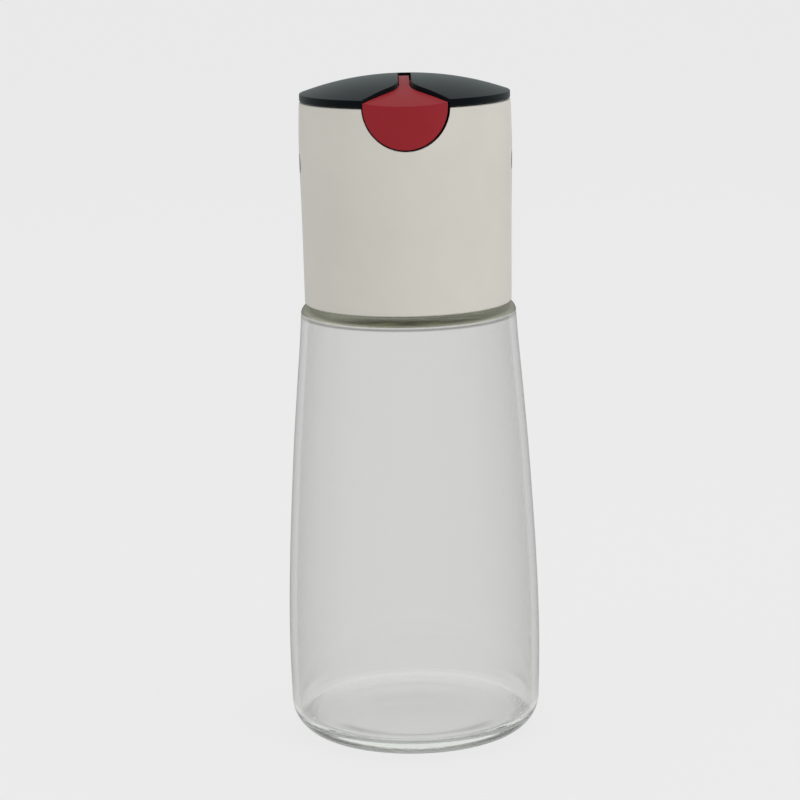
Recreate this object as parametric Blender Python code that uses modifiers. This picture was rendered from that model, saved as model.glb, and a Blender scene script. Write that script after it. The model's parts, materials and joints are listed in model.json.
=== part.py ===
"""Oil cruet: a tapered glass bottle with a screw cap, a gravity pour flap and two side catches.

Metres, +Z up. The origin is the centre of the foot's rest plane, and the pour flap faces -Y.
"""

import math

import bmesh
import bpy
from mathutils import Matrix, Vector

MM = 0.001
TURN = 2.0 * math.pi

# Clearances and fineness shared by all pieces
seat_gap = 0.3 * MM
pin_clearance = 0.1 * MM
overrun = 3.0 * MM
weld_distance = 0.01 * MM
lathe_steps = 48
small_lathe_steps = 24
arc_steps = 6
half_step = math.pi / lathe_steps

# Glass bottle, body
body_height = 125.2 * MM
widest_radius = 36.3 * MM
foot_inset = 0.3 * MM
shoulder_radius = 30.6 * MM
heel_radius = 9.2 * MM
shoulder_round = 2.6 * MM
wall_thickness = 2.0 * MM
shoulder_thickness = 2.2 * MM
inner_shoulder_round = 2.2 * MM
floor_thickness = 5.1 * MM
inner_heel_radius = 5.0 * MM
bearing_width = 4.5 * MM
punt_depth = 0.6 * MM
# Shares of the body's height, and of the step from the shoulder to the widest radius, up the flank
flank_height_shares = (0.195, 0.315, 0.4385, 0.562, 0.683, 0.808, 0.907)
flank_radius_shares = (1.0, 0.965, 0.855, 0.70, 0.525, 0.30, 0.11)

# Glass bottle, neck with its screw finish
neck_ring_height = 1.1 * MM
neck_root_round = 0.4 * MM
finish_radius = 25.0 * MM
finish_height = 17.0 * MM
neck_wall = 3.5 * MM
lip_round = 1.1 * MM
thread_pitch = 6.0 * MM
thread_height = 1.1 * MM
thread_root_width = 2.4 * MM
thread_tip_width = 1.2 * MM
thread_start = 3.6 * MM
thread_turns = 1.25
thread_axial_clearance = 0.35 * MM
thread_root_sink = 0.4 * MM

# Neck gasket
gasket_thickness = 1.7 * MM

# Screw insert: the inner cap that carries everything above the neck
skirt_wall = 1.2 * MM
skirt_lift = 0.7 * MM
insert_thread_turns = 1.0
deck_thickness = 2.0 * MM
plug_depth = 6.0 * MM
plug_wall = 1.2 * MM
drip_wall_clearance = 1.35 * MM
drip_wall_thickness = 1.4 * MM
drip_wall_height = 5.0 * MM
drain_radius = 1.5 * MM
drain_spacing = 10.2 * MM

# Collar: the white sleeve
shoulder_gap = 0.5 * MM
collar_height = 56.9 * MM
collar_clearance = 0.2 * MM
collar_top_flare = 0.3 * MM
collar_swell = 0.6 * MM
collar_wall = 1.6 * MM
collar_edge_round = 0.5 * MM
collar_widest_share = 0.77
collar_lower_share = 0.40
collar_lower_radius_share = 0.38
ledge_depth = 0.75 * MM
ledge_height = 1.6 * MM
catch_drop = 17.1 * MM
window_half_length = 5.3 * MM
window_half_height = 3.2 * MM
window_gap = 0.5 * MM

# Top cover: the dark dome
cover_inset = 0.1 * MM
band_height = 2.0 * MM
dome_rise = 5.1 * MM
dome_power = 2.13
cover_wall = 1.6 * MM
band_edge_round = 0.5 * MM
spigot_wall = 1.5 * MM
spigot_depth = 6.0 * MM
flap_gap = 0.45 * MM
lug_thickness = 1.8 * MM
lug_length = 5.6 * MM
lug_drop = 2.2 * MM

# Pour flap and its hinge
flap_half_width = 11.7 * MM
flap_wall = 2.2 * MM
flap_front_rise = 0.8 * MM
flap_disc_rise = 0.7 * MM
flap_recess = 0.5 * MM
neck_half_width = 1.32 * MM
neck_start = 15.6 * MM
neck_fillet = 5.0 * MM
hinge_depth = 4.1 * MM
hinge_forward = 1.0 * MM
knuckle_half_length = 4.5 * MM
knuckle_wall = 1.2 * MM
knuckle_web_reach = 4.2 * MM
pin_radius = 1.0 * MM
boss_radius = 4.6 * MM
seal_radius = 5.2 * MM
seal_thickness = 1.5 * MM

# Counterweight that swings the flap open when the bottle is tipped
weight_radius = 2.6 * MM
weight_half_length = 6.0 * MM
weight_drop = 8.6 * MM
arm_half_width = 2.2 * MM
arm_half_depth = 1.6 * MM
eye_wall = 1.2 * MM

# Pour spout
spout_radius = 5.5 * MM
spout_bore_radius = 4.0 * MM
spout_wall_clearance = 3.5 * MM
spout_riser = 6.0 * MM
spout_bend_share = 0.93
spout_mouth_setback = 5.6 * MM
spout_mouth_drop = 7.6 * MM
spout_flange_radius = 8.5 * MM
spout_flange_thickness = 1.6 * MM
spout_gasket_thickness = 1.0 * MM
spout_tail = 0.6 * MM

# Vent tube
vent_radius = 2.0 * MM
vent_bore_radius = 1.1 * MM
vent_wall_clearance = 1.5 * MM
vent_above_deck = 6.5 * MM
vent_below_lip = 16.0 * MM
vent_flange_radius = 3.3 * MM
vent_flange_thickness = 1.2 * MM
vent_gasket_thickness = 1.0 * MM

# Side catches
tongue_thickness = 1.3 * MM
tongue_half_width = 5.0 * MM
tongue_inset = 1.0 * MM
tongue_above_window = 1.6 * MM
tongue_pivot_rise = 0.6 * MM

# Heights and radii that follow from the sizes above
foot_body_radius = widest_radius - foot_inset
punt_radius = foot_body_radius - heel_radius - bearing_width
bore_radius = finish_radius - neck_wall
ring_top = body_height + neck_ring_height
lip_top = ring_top + finish_height
gasket_bottom = lip_top + seat_gap
deck_bottom = gasket_bottom + gasket_thickness + seat_gap
deck_top = deck_bottom + deck_thickness
collar_bottom = body_height + shoulder_gap
rim = collar_bottom + collar_height
band_bottom = rim + seat_gap
band_top = band_bottom + band_height
apex = band_top + dome_rise
skirt_inner_radius = finish_radius + thread_height + seat_gap
skirt_outer_radius = skirt_inner_radius + skirt_wall
collar_inner_radius = skirt_outer_radius + collar_clearance
collar_foot_radius = collar_inner_radius + collar_wall
collar_top_radius = collar_foot_radius + collar_top_flare
collar_widest_radius = collar_foot_radius + collar_swell
cover_radius = collar_top_radius - cover_inset
neck_ring_radius = collar_inner_radius - seat_gap
tongue_outer_x = collar_inner_radius - ledge_depth - tongue_inset
drip_wall_radius = tongue_outer_x - tongue_thickness - drip_wall_clearance
vent_back = drip_wall_radius - drip_wall_thickness - vent_flange_radius - vent_wall_clearance
spout_mouth_forward = collar_top_radius - flap_wall - spout_mouth_setback
spout_back = drip_wall_radius - drip_wall_thickness - spout_flange_radius - spout_wall_clearance
spout_rise = rim - spout_mouth_drop - deck_top - spout_riser
spout_bend_radius = spout_bend_share * spout_rise
spigot_outer_radius = collar_top_radius - collar_wall - seat_gap
hinge_height = apex - hinge_depth
hinge_y = -hinge_forward
knuckle_radius = pin_radius + pin_clearance + knuckle_wall
neck_top = apex - flap_recess
neck_swing_radius = neck_top - hinge_height
window_centre = rim - catch_drop


def clear_scene():
    for item in list(bpy.data.objects):
        bpy.data.objects.remove(item, do_unlink=True)


def new_collection(name):
    group = bpy.data.collections.new(name)
    bpy.context.scene.collection.children.link(group)
    return group


def material(name, colour, roughness, metallic=0.0, transmission=0.0, ior=1.5):
    """A plain finish with the piece's own colour."""
    finish = bpy.data.materials.new(name)
    finish.use_nodes = True
    shader = finish.node_tree.nodes["Principled BSDF"]
    shader.inputs["Base Color"].default_value = (*colour, 1.0)
    shader.inputs["Roughness"].default_value = roughness
    shader.inputs["Metallic"].default_value = metallic
    shader.inputs["Transmission Weight"].default_value = transmission
    shader.inputs["IOR"].default_value = ior
    finish.diffuse_color = (*colour, 1.0)
    return finish


def add_object(name, mesh, group, finish=None):
    item = bpy.data.objects.new(name, mesh)
    group.objects.link(item)
    if finish is not None:
        mesh.materials.append(finish)
    return item


def mark_as_guide(item):
    """A cutter, or a body that another piece is joined with, isn't a piece by itself."""
    item.hide_render = True
    item.display_type = "WIRE"
    return item


def shade(item, angle=math.radians(32.0)):
    item.data.shade_smooth()
    item.data.set_sharp_from_angle(angle=angle)


def evaluated_mesh(item):
    bpy.context.view_layer.update()
    graph = bpy.context.evaluated_depsgraph_get()
    return bpy.data.meshes.new_from_object(item.evaluated_get(graph), depsgraph=graph)


def baked(item):
    """The object as a plain welded mesh in the same place, instead of a curve or a modifier stack."""
    mesh = evaluated_mesh(item)
    work = bmesh.new()
    work.from_mesh(mesh)
    bmesh.ops.remove_doubles(work, verts=work.verts, dist=weld_distance)
    bmesh.ops.recalc_face_normals(work, faces=work.faces)
    work.to_mesh(mesh)
    work.free()
    group = item.users_collection[0]
    name, place = item.name, item.matrix_world.copy()
    bpy.data.objects.remove(item, do_unlink=True)
    made = add_object(name, mesh, group)
    made.matrix_world = place
    return made


def arc(centre, radius, start, end, steps=arc_steps):
    """Points of an arc in a plane, with both ends, angles in radians."""
    angles = [start + (end - start) * i / steps for i in range(steps + 1)]
    return [(centre[0] + radius * math.cos(a), centre[1] + radius * math.sin(a)) for a in angles]


def turned(name, profile, group, finish=None, steps=lathe_steps, ring=False):
    """A turned piece. The profile is (radius, height) points that run down the outer side.

    A ring's profile is a closed loop. Any other profile starts and ends on the axis.
    """
    mesh = bpy.data.meshes.new(name)
    points = [(r, 0.0, z) for r, z in profile]
    edges = [(i, i + 1) for i in range(len(points) - 1)]
    if ring:
        edges.append((len(points) - 1, 0))
    mesh.from_pydata(points, edges, [])
    item = add_object(name, mesh, group, finish)
    lathe = item.modifiers.new("lathe", "SCREW")
    lathe.axis = "Z"
    lathe.angle = TURN
    lathe.steps = steps
    lathe.render_steps = steps
    lathe.use_merge_vertices = not ring
    lathe.merge_threshold = weld_distance
    return item


def helix(name, profile, turns, start_angle, group):
    """A screw-thread ridge: a closed profile wound up around Z, with both ends capped."""
    mesh = bpy.data.meshes.new(name)
    count = len(profile)
    mesh.from_pydata([(r, 0.0, z) for r, z in profile], [(i, (i + 1) % count) for i in range(count)], [])
    item = add_object(name, mesh, group)
    winding = item.modifiers.new("winding", "SCREW")
    winding.axis = "Z"
    winding.angle = TURN * turns
    winding.screw_offset = thread_pitch * turns
    winding.steps = round(lathe_steps * turns)
    winding.render_steps = winding.steps
    made = baked(item)
    work = bmesh.new()
    work.from_mesh(made.data)
    bmesh.ops.holes_fill(work, edges=[e for e in work.edges if e.is_boundary], sides=0)
    bmesh.ops.rotate(work, verts=work.verts, matrix=Matrix.Rotation(start_angle, 3, "Z"))
    bmesh.ops.recalc_face_normals(work, faces=work.faces)
    work.to_mesh(made.data)
    work.free()
    return mark_as_guide(made)


# Local x, y and z of a flat outline, as world directions
ALONG_X = Matrix(((0, 0, 1, 0), (1, 0, 0, 0), (0, 1, 0, 0), (0, 0, 0, 1)))
ALONG_Y = Matrix(((1, 0, 0, 0), (0, 0, -1, 0), (0, 1, 0, 0), (0, 0, 0, 1)))
ALONG_Z = Matrix.Identity(4)


def prism(name, outline, low, high, direction, group):
    """A flat outline made thick from low to high along a world axis."""
    curve = bpy.data.curves.new(name, "CURVE")
    curve.dimensions = "2D"
    curve.fill_mode = "BOTH"
    curve.extrude = (high - low) / 2.0
    spline = curve.splines.new("POLY")
    spline.points.add(len(outline) - 1)
    for point, (a, b) in zip(spline.points, outline):
        point.co = (a, b, 0.0, 1.0)
    spline.use_cyclic_u = True
    item = bpy.data.objects.new(name, curve)
    group.objects.link(item)
    middle = (high + low) / 2.0
    sign = -1.0 if direction is ALONG_Y else 1.0
    item.matrix_world = direction @ Matrix.Translation((0.0, 0.0, sign * middle))
    return mark_as_guide(baked(item))


def cylinder(name, radius, start, end, group, steps=small_lathe_steps):
    """A plain cylinder between two points."""
    mesh = bpy.data.meshes.new(name)
    work = bmesh.new()
    along = Vector(end) - Vector(start)
    bmesh.ops.create_cone(
        work, cap_ends=True, segments=steps, radius1=radius, radius2=radius, depth=along.length
    )
    work.to_mesh(mesh)
    work.free()
    item = add_object(name, mesh, group)
    turn = along.to_track_quat("Z", "Y").to_matrix().to_4x4()
    item.matrix_world = Matrix.Translation((Vector(start) + Vector(end)) / 2.0) @ turn
    return item


def box(name, low, high, group):
    mesh = bpy.data.meshes.new(name)
    work = bmesh.new()
    bmesh.ops.create_cube(work, size=1.0)
    size = Vector(high) - Vector(low)
    bmesh.ops.scale(work, vec=size, verts=work.verts)
    work.to_mesh(mesh)
    work.free()
    item = add_object(name, mesh, group)
    item.location = (Vector(low) + Vector(high)) / 2.0
    return item


def combine(item, other, operation):
    """A Boolean with the exact solver. The other body becomes a guide."""
    step = item.modifiers.new(operation.lower() + "_" + other.name, "BOOLEAN")
    step.operation = operation
    step.object = other
    mark_as_guide(other)
    return item


def set_origin(item, point):
    """Moves the object's origin to a point, its axes along the world's. Its shape stays in place."""
    bpy.context.view_layer.update()
    item.data.transform(Matrix.Translation(-Vector(point)) @ item.matrix_world)
    item.matrix_world = Matrix.Translation(point)


def offset_outline(points, distance):
    """A counterclockwise outline moved outwards by a distance, with sharp corners."""
    made = []
    count = len(points)
    for i in range(count):
        before, here, after = (Vector(points[(i + k) % count]) for k in (-1, 0, 1))
        first, second = (here - before).normalized(), (after - here).normalized()
        out_first = Vector((first.y, -first.x))
        out_second = Vector((second.y, -second.x))
        spread = 1.0 + out_first.dot(out_second)
        made.append(tuple(here + (out_first + out_second) * (distance / spread)))
    return made


def rounded_corner(before, corner, after, radius, steps=arc_steps):
    """The points of a fillet that replaces one corner of an outline."""
    before, corner, after = Vector(before), Vector(corner), Vector(after)
    back, ahead = (before - corner).normalized(), (after - corner).normalized()
    half = back.angle(ahead) / 2.0
    reach = radius / math.tan(half)
    centre = corner + (back + ahead).normalized() * (radius / math.sin(half))
    start = corner + back * reach - centre
    end = corner + ahead * reach - centre
    turn = start.angle(end)
    side = 1.0 if start.cross(end) > 0.0 else -1.0
    rise = math.atan2(start.y, start.x)
    return arc(tuple(centre), radius, rise, rise + side * turn, steps)


# Surfaces that more than one piece follows


def collar_skin():
    """The collar's outer side, (radius, height) from the rim down to the foot."""
    widest_z = collar_bottom + collar_widest_share * collar_height
    lower_z = collar_bottom + collar_lower_share * collar_height
    lower_r = collar_foot_radius + collar_lower_radius_share * (collar_widest_radius - collar_foot_radius)
    return [
        (collar_top_radius, rim),
        ((collar_top_radius + 2.0 * collar_widest_radius) / 3.0, (rim + widest_z) / 2.0),
        (collar_widest_radius, widest_z),
        ((collar_widest_radius + lower_r) / 2.0, (widest_z + lower_z) / 2.0),
        (lower_r, lower_z),
        (collar_foot_radius, collar_bottom),
    ]


def dome_height(radius, lift=0.0, reach=cover_radius):
    """Height of the dome over the band at a radius."""
    share = min(1.0, radius / reach)
    return band_top + lift + dome_rise * (1.0 - share**dome_power)


def flap_height(y):
    """Height of the flap's top surface, which is curved along Y only."""
    front = rim + flap_front_rise
    return front + (neck_top - front) * (1.0 - (y / cover_radius) ** 2)


def flap_plan(gap, front, back):
    """The flap seen from above: full width at the front, straight flanks, and a narrow neck."""
    corner_y = -math.sqrt(collar_top_radius**2 - flap_half_width**2)
    right = [(flap_half_width, front), (flap_half_width, corner_y), (neck_half_width, -neck_start)]
    right.append((neck_half_width, back))
    left = [(-x, y) for x, y in reversed(right)]
    grown = offset_outline(right + left, gap)
    last_right = len(right) - 1
    points = grown[:2]
    points += rounded_corner(grown[1], grown[2], grown[last_right], neck_fillet)
    points += [grown[last_right], grown[last_right + 1]]
    mirror = len(grown) - 3
    points += rounded_corner(grown[last_right + 1], grown[mirror], grown[mirror + 1], neck_fillet)
    points += grown[mirror + 1 :]
    return points


def flap_front(gap):
    """The flap seen from the front: a half disc that hangs from the rim."""
    radius = flap_half_width + gap
    top = apex + overrun
    points = arc((0.0, rim + flap_disc_rise), radius, -math.pi, 0.0, 4 * arc_steps)
    return points + [(radius, top), (-radius, top)]


def mouth_tilt():
    """How steeply the spout's straight end rises: its line touches the bend and meets the mouth."""
    across = spout_mouth_forward - spout_back - spout_bend_radius
    reach = math.hypot(across, spout_rise)
    return math.atan2(spout_rise, across) - math.asin(spout_bend_radius / reach)


def mouth_frame():
    """Centre of the spout's mouth and the direction it faces."""
    centre = Vector((0.0, -spout_mouth_forward, rim - spout_mouth_drop))
    facing = Vector((0.0, -math.cos(mouth_tilt()), math.sin(mouth_tilt())))
    return centre, facing


# Pieces


def thread_profile(root, tip, middle, sink):
    """A trapezoid ridge between a root radius and a tip radius."""
    root = root - math.copysign(sink, tip - root)
    return [
        (root, middle + thread_root_width / 2.0),
        (tip, middle + thread_tip_width / 2.0),
        (tip, middle - thread_tip_width / 2.0),
        (root, middle - thread_root_width / 2.0),
    ]


def body_radius_points():
    """The glass body's flank, (radius, height) from the shoulder down to the heel."""
    step = widest_radius - shoulder_radius
    flank = [
        (shoulder_radius + step * r, body_height * z)
        for z, r in zip(flank_height_shares, flank_radius_shares)
    ]
    return list(reversed(flank))


def glass_bottle(group, guides, finish):
    flank = body_radius_points()
    inner = [(r - wall_thickness, z) for r, z in reversed(flank)]
    inner_foot_radius = foot_body_radius - wall_thickness
    inside = [(0.0, floor_thickness)]
    inside += arc(
        (inner_foot_radius - inner_heel_radius, floor_thickness + inner_heel_radius),
        inner_heel_radius,
        -math.pi / 2.0,
        0.0,
        4,
    )
    inside += inner
    shoulder_inside = body_height - shoulder_thickness
    inside += arc(
        (shoulder_radius - wall_thickness - inner_shoulder_round, shoulder_inside - inner_shoulder_round),
        inner_shoulder_round,
        0.0,
        math.pi / 2.0,
        3,
    )
    inside += [(bore_radius + wall_thickness, shoulder_inside), (bore_radius, body_height + neck_root_round)]
    lip_in = arc((bore_radius + lip_round, lip_top - lip_round), lip_round, math.pi, math.pi / 2.0, 3)
    lip_out = arc((finish_radius - lip_round, lip_top - lip_round), lip_round, math.pi / 2.0, 0.0, 3)
    neck = [(finish_radius, ring_top), (neck_ring_radius - neck_root_round, ring_top)]
    neck += [(neck_ring_radius, ring_top - neck_root_round)]
    neck += [(neck_ring_radius, body_height + neck_root_round)]
    neck += [(neck_ring_radius + neck_root_round / 3.0, body_height)]
    shoulder = arc(
        (shoulder_radius - shoulder_round, body_height - shoulder_round),
        shoulder_round,
        math.pi / 2.0,
        0.0,
        4,
    )
    heel = arc((foot_body_radius - heel_radius, heel_radius), heel_radius, 0.0, -math.pi / 2.0)
    punt_mid_share = 0.6
    foot = [(punt_radius, 0.0), (punt_radius * punt_mid_share, punt_depth), (0.0, punt_depth)]
    profile = inside + lip_in + lip_out + neck + shoulder + flank + heel + foot
    bottle = turned("glass_bottle", profile, group, finish)
    middle = ring_top + thread_start
    ridge = helix(
        "glass_thread",
        thread_profile(finish_radius, finish_radius + thread_height, middle, thread_root_sink),
        thread_turns,
        half_step,
        guides,
    )
    combine(bottle, ridge, "UNION")
    shade(bottle)
    return bottle


def neck_gasket(group, finish):
    inner = bore_radius + seat_gap
    outer = skirt_inner_radius - seat_gap
    top = gasket_bottom + gasket_thickness
    profile = [(outer, top), (outer, gasket_bottom), (inner, gasket_bottom), (inner, top)]
    return turned("neck_gasket", profile, group, finish, ring=True)


def screw_insert(group, guides, finish):
    """The inner cap: threaded skirt, centring plug, deck and drip wall in one moulding."""
    skirt_bottom = ring_top + skirt_lift
    plug_outer = bore_radius - seat_gap
    plug_inner = plug_outer - plug_wall
    drip_inner = drip_wall_radius - drip_wall_thickness
    profile = [
        (0.0, deck_top),
        (drip_inner, deck_top),
        (drip_inner, deck_top + drip_wall_height),
        (drip_wall_radius, deck_top + drip_wall_height),
        (drip_wall_radius, deck_top),
        (skirt_outer_radius, deck_top),
        (skirt_outer_radius, skirt_bottom),
        (skirt_inner_radius, skirt_bottom),
        (skirt_inner_radius, deck_bottom),
        (plug_outer, deck_bottom),
        (plug_outer, deck_bottom - plug_depth),
        (plug_inner, deck_bottom - plug_depth),
        (plug_inner, deck_bottom),
        (0.0, deck_bottom),
    ]
    insert = turned("screw_insert", profile, group, finish)
    mean_width = (thread_root_width + thread_tip_width) / 2.0
    middle = ring_top + thread_start - mean_width - thread_axial_clearance
    ridge = helix(
        "insert_thread",
        thread_profile(skirt_inner_radius, finish_radius + seat_gap, middle, thread_root_sink),
        insert_thread_turns,
        TURN / 4.0 + half_step,
        guides,
    )
    ridge.location.z = thread_pitch / 4.0
    combine(insert, ridge, "UNION")
    above, below = deck_top + overrun, deck_bottom - overrun
    for name, radius, y in (
        ("spout_hole", spout_radius + seat_gap, -spout_back),
        ("vent_hole", vent_radius + seat_gap, vent_back),
        ("drain_hole", drain_radius, vent_back - drain_spacing),
    ):
        hole = cylinder(name, radius, (0.0, y, below), (0.0, y, above), guides)
        combine(insert, hole, "DIFFERENCE")
    shade(insert)
    return insert


def cap_collar(group, guides, finish):
    outer = collar_skin()
    top_round = arc(
        (collar_top_radius - collar_edge_round, rim - collar_edge_round),
        collar_edge_round,
        math.pi / 2.0,
        0.0,
        3,
    )
    foot_round = arc(
        (collar_foot_radius - collar_edge_round, collar_bottom + collar_edge_round),
        collar_edge_round,
        0.0,
        -math.pi / 2.0,
        3,
    )
    ledge_bottom = deck_top + seat_gap
    ledge_top = ledge_bottom + ledge_height
    ledge_radius = collar_inner_radius - ledge_depth
    top_inner = collar_top_radius - collar_wall
    inside = [
        (collar_inner_radius, collar_bottom),
        (collar_inner_radius, ledge_bottom),
        (ledge_radius, ledge_bottom),
        (ledge_radius, ledge_top),
        (collar_inner_radius, ledge_top + ledge_depth),
        (top_inner, window_centre),
        (top_inner, rim),
    ]
    collar = turned("cap_collar", top_round + outer[1:-1] + foot_round + inside, group, finish, ring=True)
    front = -collar_widest_radius - overrun
    notch = prism("flap_notch", flap_front(flap_gap), front, hinge_y, ALONG_Y, guides)
    combine(collar, notch, "DIFFERENCE")
    reach = collar_widest_radius + overrun
    window = prism(
        "catch_windows", stadium(window_half_length, window_half_height), -reach, reach, ALONG_X, guides
    )
    combine(collar, window, "DIFFERENCE")
    shade(collar)
    return collar


def stadium(half_length, half_height):
    """A slot with round ends, in the plane across X, at the height of the side catches."""
    straight = half_length - half_height
    right = arc((straight, window_centre), half_height, -math.pi / 2.0, math.pi / 2.0, 2 * arc_steps)
    left = arc((-straight, window_centre), half_height, math.pi / 2.0, 1.5 * math.pi, 2 * arc_steps)
    return right + left


def top_cover(group, guides, finish):
    """The dark dome: band, spigot inside the collar, hinge lugs, and the cut-out for the flap."""
    shares = (1.0, 0.93, 0.85, 0.75, 0.62, 0.48, 0.32, 0.16)
    edge = arc(
        (cover_radius - band_edge_round, band_top - band_edge_round),
        band_edge_round,
        math.pi / 2.0,
        0.0,
        3,
    )
    outer = [(0.0, apex)]
    outer += [(cover_radius * s, dome_height(cover_radius * s)) for s in reversed(shares[1:])]
    spigot_inner = spigot_outer_radius - spigot_wall
    spigot_bottom = rim - spigot_depth
    foot = arc(
        (cover_radius - band_edge_round, band_bottom + band_edge_round),
        band_edge_round,
        0.0,
        -math.pi / 2.0,
        2,
    )
    inside = [
        (spigot_outer_radius, band_bottom),
        (spigot_outer_radius, spigot_bottom),
        (spigot_inner, spigot_bottom),
    ]
    inner_dome = [
        (spigot_inner * s, dome_height(spigot_inner * s, -cover_wall)) for s in shares
    ]
    cover = turned(
        "top_cover", outer + edge + foot + inside + inner_dome + [(0.0, apex - cover_wall)], group, finish
    )
    lug_inner = knuckle_half_length + seat_gap
    lug_outer = lug_inner + lug_thickness
    lug_bottom = hinge_height - lug_drop
    buried = apex - cover_wall / 2.0
    for side, name in ((-1.0, "left"), (1.0, "right")):
        low_x, high_x = sorted((side * lug_inner, side * lug_outer))
        lug = box(
            "hinge_lug_" + name,
            (low_x, hinge_y - lug_length / 2.0, lug_bottom),
            (high_x, hinge_y + lug_length / 2.0, buried - flap_recess),
            guides,
        )
        combine(cover, lug, "UNION")
    pin_hole = cylinder(
        "lug_pin_hole",
        pin_radius + pin_clearance,
        (-lug_outer - overrun, hinge_y, hinge_height),
        (lug_outer + overrun, hinge_y, hinge_height),
        guides,
    )
    combine(cover, pin_hole, "DIFFERENCE")
    slot_end = hinge_y + neck_swing_radius
    opening = prism(
        "flap_opening",
        flap_plan(flap_gap, -cover_radius - overrun, slot_end),
        spigot_bottom - overrun,
        apex + overrun,
        ALONG_Z,
        guides,
    )
    combine(cover, opening, "DIFFERENCE")
    shade(cover)
    return cover


def flap_side(thickness):
    """The flap seen from the side, (y, z): its top curve, the round end at the hinge, and the apron.

    With a thickness it is the space under the top plate, which is cut away behind the apron.
    """
    front = -cover_radius - overrun
    bottom = rim - flap_half_width - overrun
    web = hinge_y - knuckle_web_reach
    ys = [web + (front - web) * i / (2 * arc_steps) for i in range(2 * arc_steps + 1)]
    if thickness:
        return [(front, bottom - overrun)] + [
            (web, bottom - overrun)
        ] + [(y, flap_height(y) - thickness) for y in ys]
    top = [(y, flap_height(y)) for y in reversed(ys)]
    back = arc((hinge_y, hinge_height), neck_swing_radius, math.pi / 2.0, -math.pi / 2.0, 2 * arc_steps)
    under = (web, flap_height(web) - flap_wall)
    return list(reversed([(front, bottom)] + top + back + [under, (web, bottom)]))


def pour_flap(group, guides, finish):
    """The red flap: top plate, half-disc apron flush with the collar, hinge knuckle and seal boss."""
    wide = collar_widest_radius + overrun
    front = -wide
    back = hinge_y + neck_swing_radius + overrun
    flap = prism("pour_flap", flap_front(0.0), front, back, ALONG_Y, group)
    flap.hide_render = False
    flap.display_type = "TEXTURED"
    flap.data.materials.append(finish)
    plan = prism(
        "flap_plan", flap_plan(0.0, front, back), rim - wide, apex + overrun, ALONG_Z, guides
    )
    side = prism("flap_side", flap_side(0.0), -wide, wide, ALONG_X, guides)
    skin_points = collar_skin()
    skin = turned(
        "flap_skin",
        [(0.0, apex + overrun), (collar_top_radius, apex + overrun)]
        + skin_points
        + [(0.0, collar_bottom)],
        guides,
    )
    for guide in (plan, side, skin):
        combine(flap, guide, "INTERSECT")
    core = cylinder(
        "flap_core",
        collar_top_radius - flap_wall,
        (0.0, 0.0, rim - wide),
        (0.0, 0.0, apex + overrun),
        guides,
        lathe_steps,
    )
    underside = prism("flap_underside", flap_side(flap_wall), -wide, wide, ALONG_X, guides)
    combine(core, underside, "INTERSECT")
    mouth, facing = mouth_frame()
    boss_start = mouth + facing * (2.0 * seat_gap + seal_thickness)
    boss = cylinder("seal_boss", boss_radius, boss_start, mouth + facing * wide, guides)
    combine(core, boss, "DIFFERENCE")
    combine(flap, core, "DIFFERENCE")
    knuckle = cylinder(
        "flap_knuckle",
        knuckle_radius,
        (-knuckle_half_length, hinge_y, hinge_height),
        (knuckle_half_length, hinge_y, hinge_height),
        guides,
    )
    combine(flap, knuckle, "UNION")
    weight_z = hinge_height - weight_drop
    arm = box(
        "weight_arm",
        (-arm_half_width, hinge_y - arm_half_depth, weight_z),
        (arm_half_width, hinge_y + arm_half_depth, hinge_height),
        guides,
    )
    combine(flap, arm, "UNION")
    bore = weight_radius + pin_clearance
    eye_start, eye_end = (-arm_half_width, hinge_y, weight_z), (arm_half_width, hinge_y, weight_z)
    combine(flap, cylinder("weight_eye", bore + eye_wall, eye_start, eye_end, guides), "UNION")
    hole_start, hole_end = (-wide, hinge_y, weight_z), (wide, hinge_y, weight_z)
    combine(flap, cylinder("weight_hole", bore, hole_start, hole_end, guides), "DIFFERENCE")
    pin_hole = cylinder(
        "flap_pin_hole",
        pin_radius + pin_clearance,
        (-wide, hinge_y, hinge_height),
        (wide, hinge_y, hinge_height),
        guides,
    )
    combine(flap, pin_hole, "DIFFERENCE")
    shade(flap)
    set_origin_on_hinge(flap)
    return flap


def set_origin_on_hinge(item):
    """Puts a flap piece's origin on the hinge axis. Its shape stays where it is."""
    set_origin(item, (0.0, hinge_y, hinge_height))


def flap_seal(group, finish):
    mouth, facing = mouth_frame()
    seal = cylinder(
        "flap_seal",
        seal_radius,
        mouth + facing * seat_gap,
        mouth + facing * (seat_gap + seal_thickness),
        group,
    )
    seal.data.materials.append(finish)
    shade(seal)
    set_origin_on_hinge(seal)
    return seal


def flap_counterweight(group, finish):
    """A short steel rod pressed through the eye under the flap's knuckle."""
    weight_z = hinge_height - weight_drop
    rod = cylinder(
        "flap_counterweight",
        weight_radius,
        (-weight_half_length, hinge_y, weight_z),
        (weight_half_length, hinge_y, weight_z),
        group,
    )
    rod.data.materials.append(finish)
    shade(rod)
    set_origin_on_hinge(rod)
    return rod


def flap_hinge_pin(group, finish):
    half = knuckle_half_length + seat_gap + lug_thickness
    pin = cylinder(
        "flap_hinge_pin",
        pin_radius,
        (-half, hinge_y, hinge_height),
        (half, hinge_y, hinge_height),
        group,
    )
    pin.data.materials.append(finish)
    shade(pin)
    return pin


def spout_path(start_run, end_run):
    """The spout's centre line: up from the deck, one bend forward, straight to the mouth."""
    mouth, facing = mouth_frame()
    centre = (-spout_back - spout_bend_radius, deck_top + spout_riser)
    bend = arc(centre, spout_bend_radius, 0.0, math.pi / 2.0 - mouth_tilt())
    points = [Vector((0.0, -spout_back, deck_bottom - spout_tail - start_run))]
    points += [Vector((0.0, y, z)) for y, z in bend]
    points.append(mouth + facing * end_run)
    return points


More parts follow.
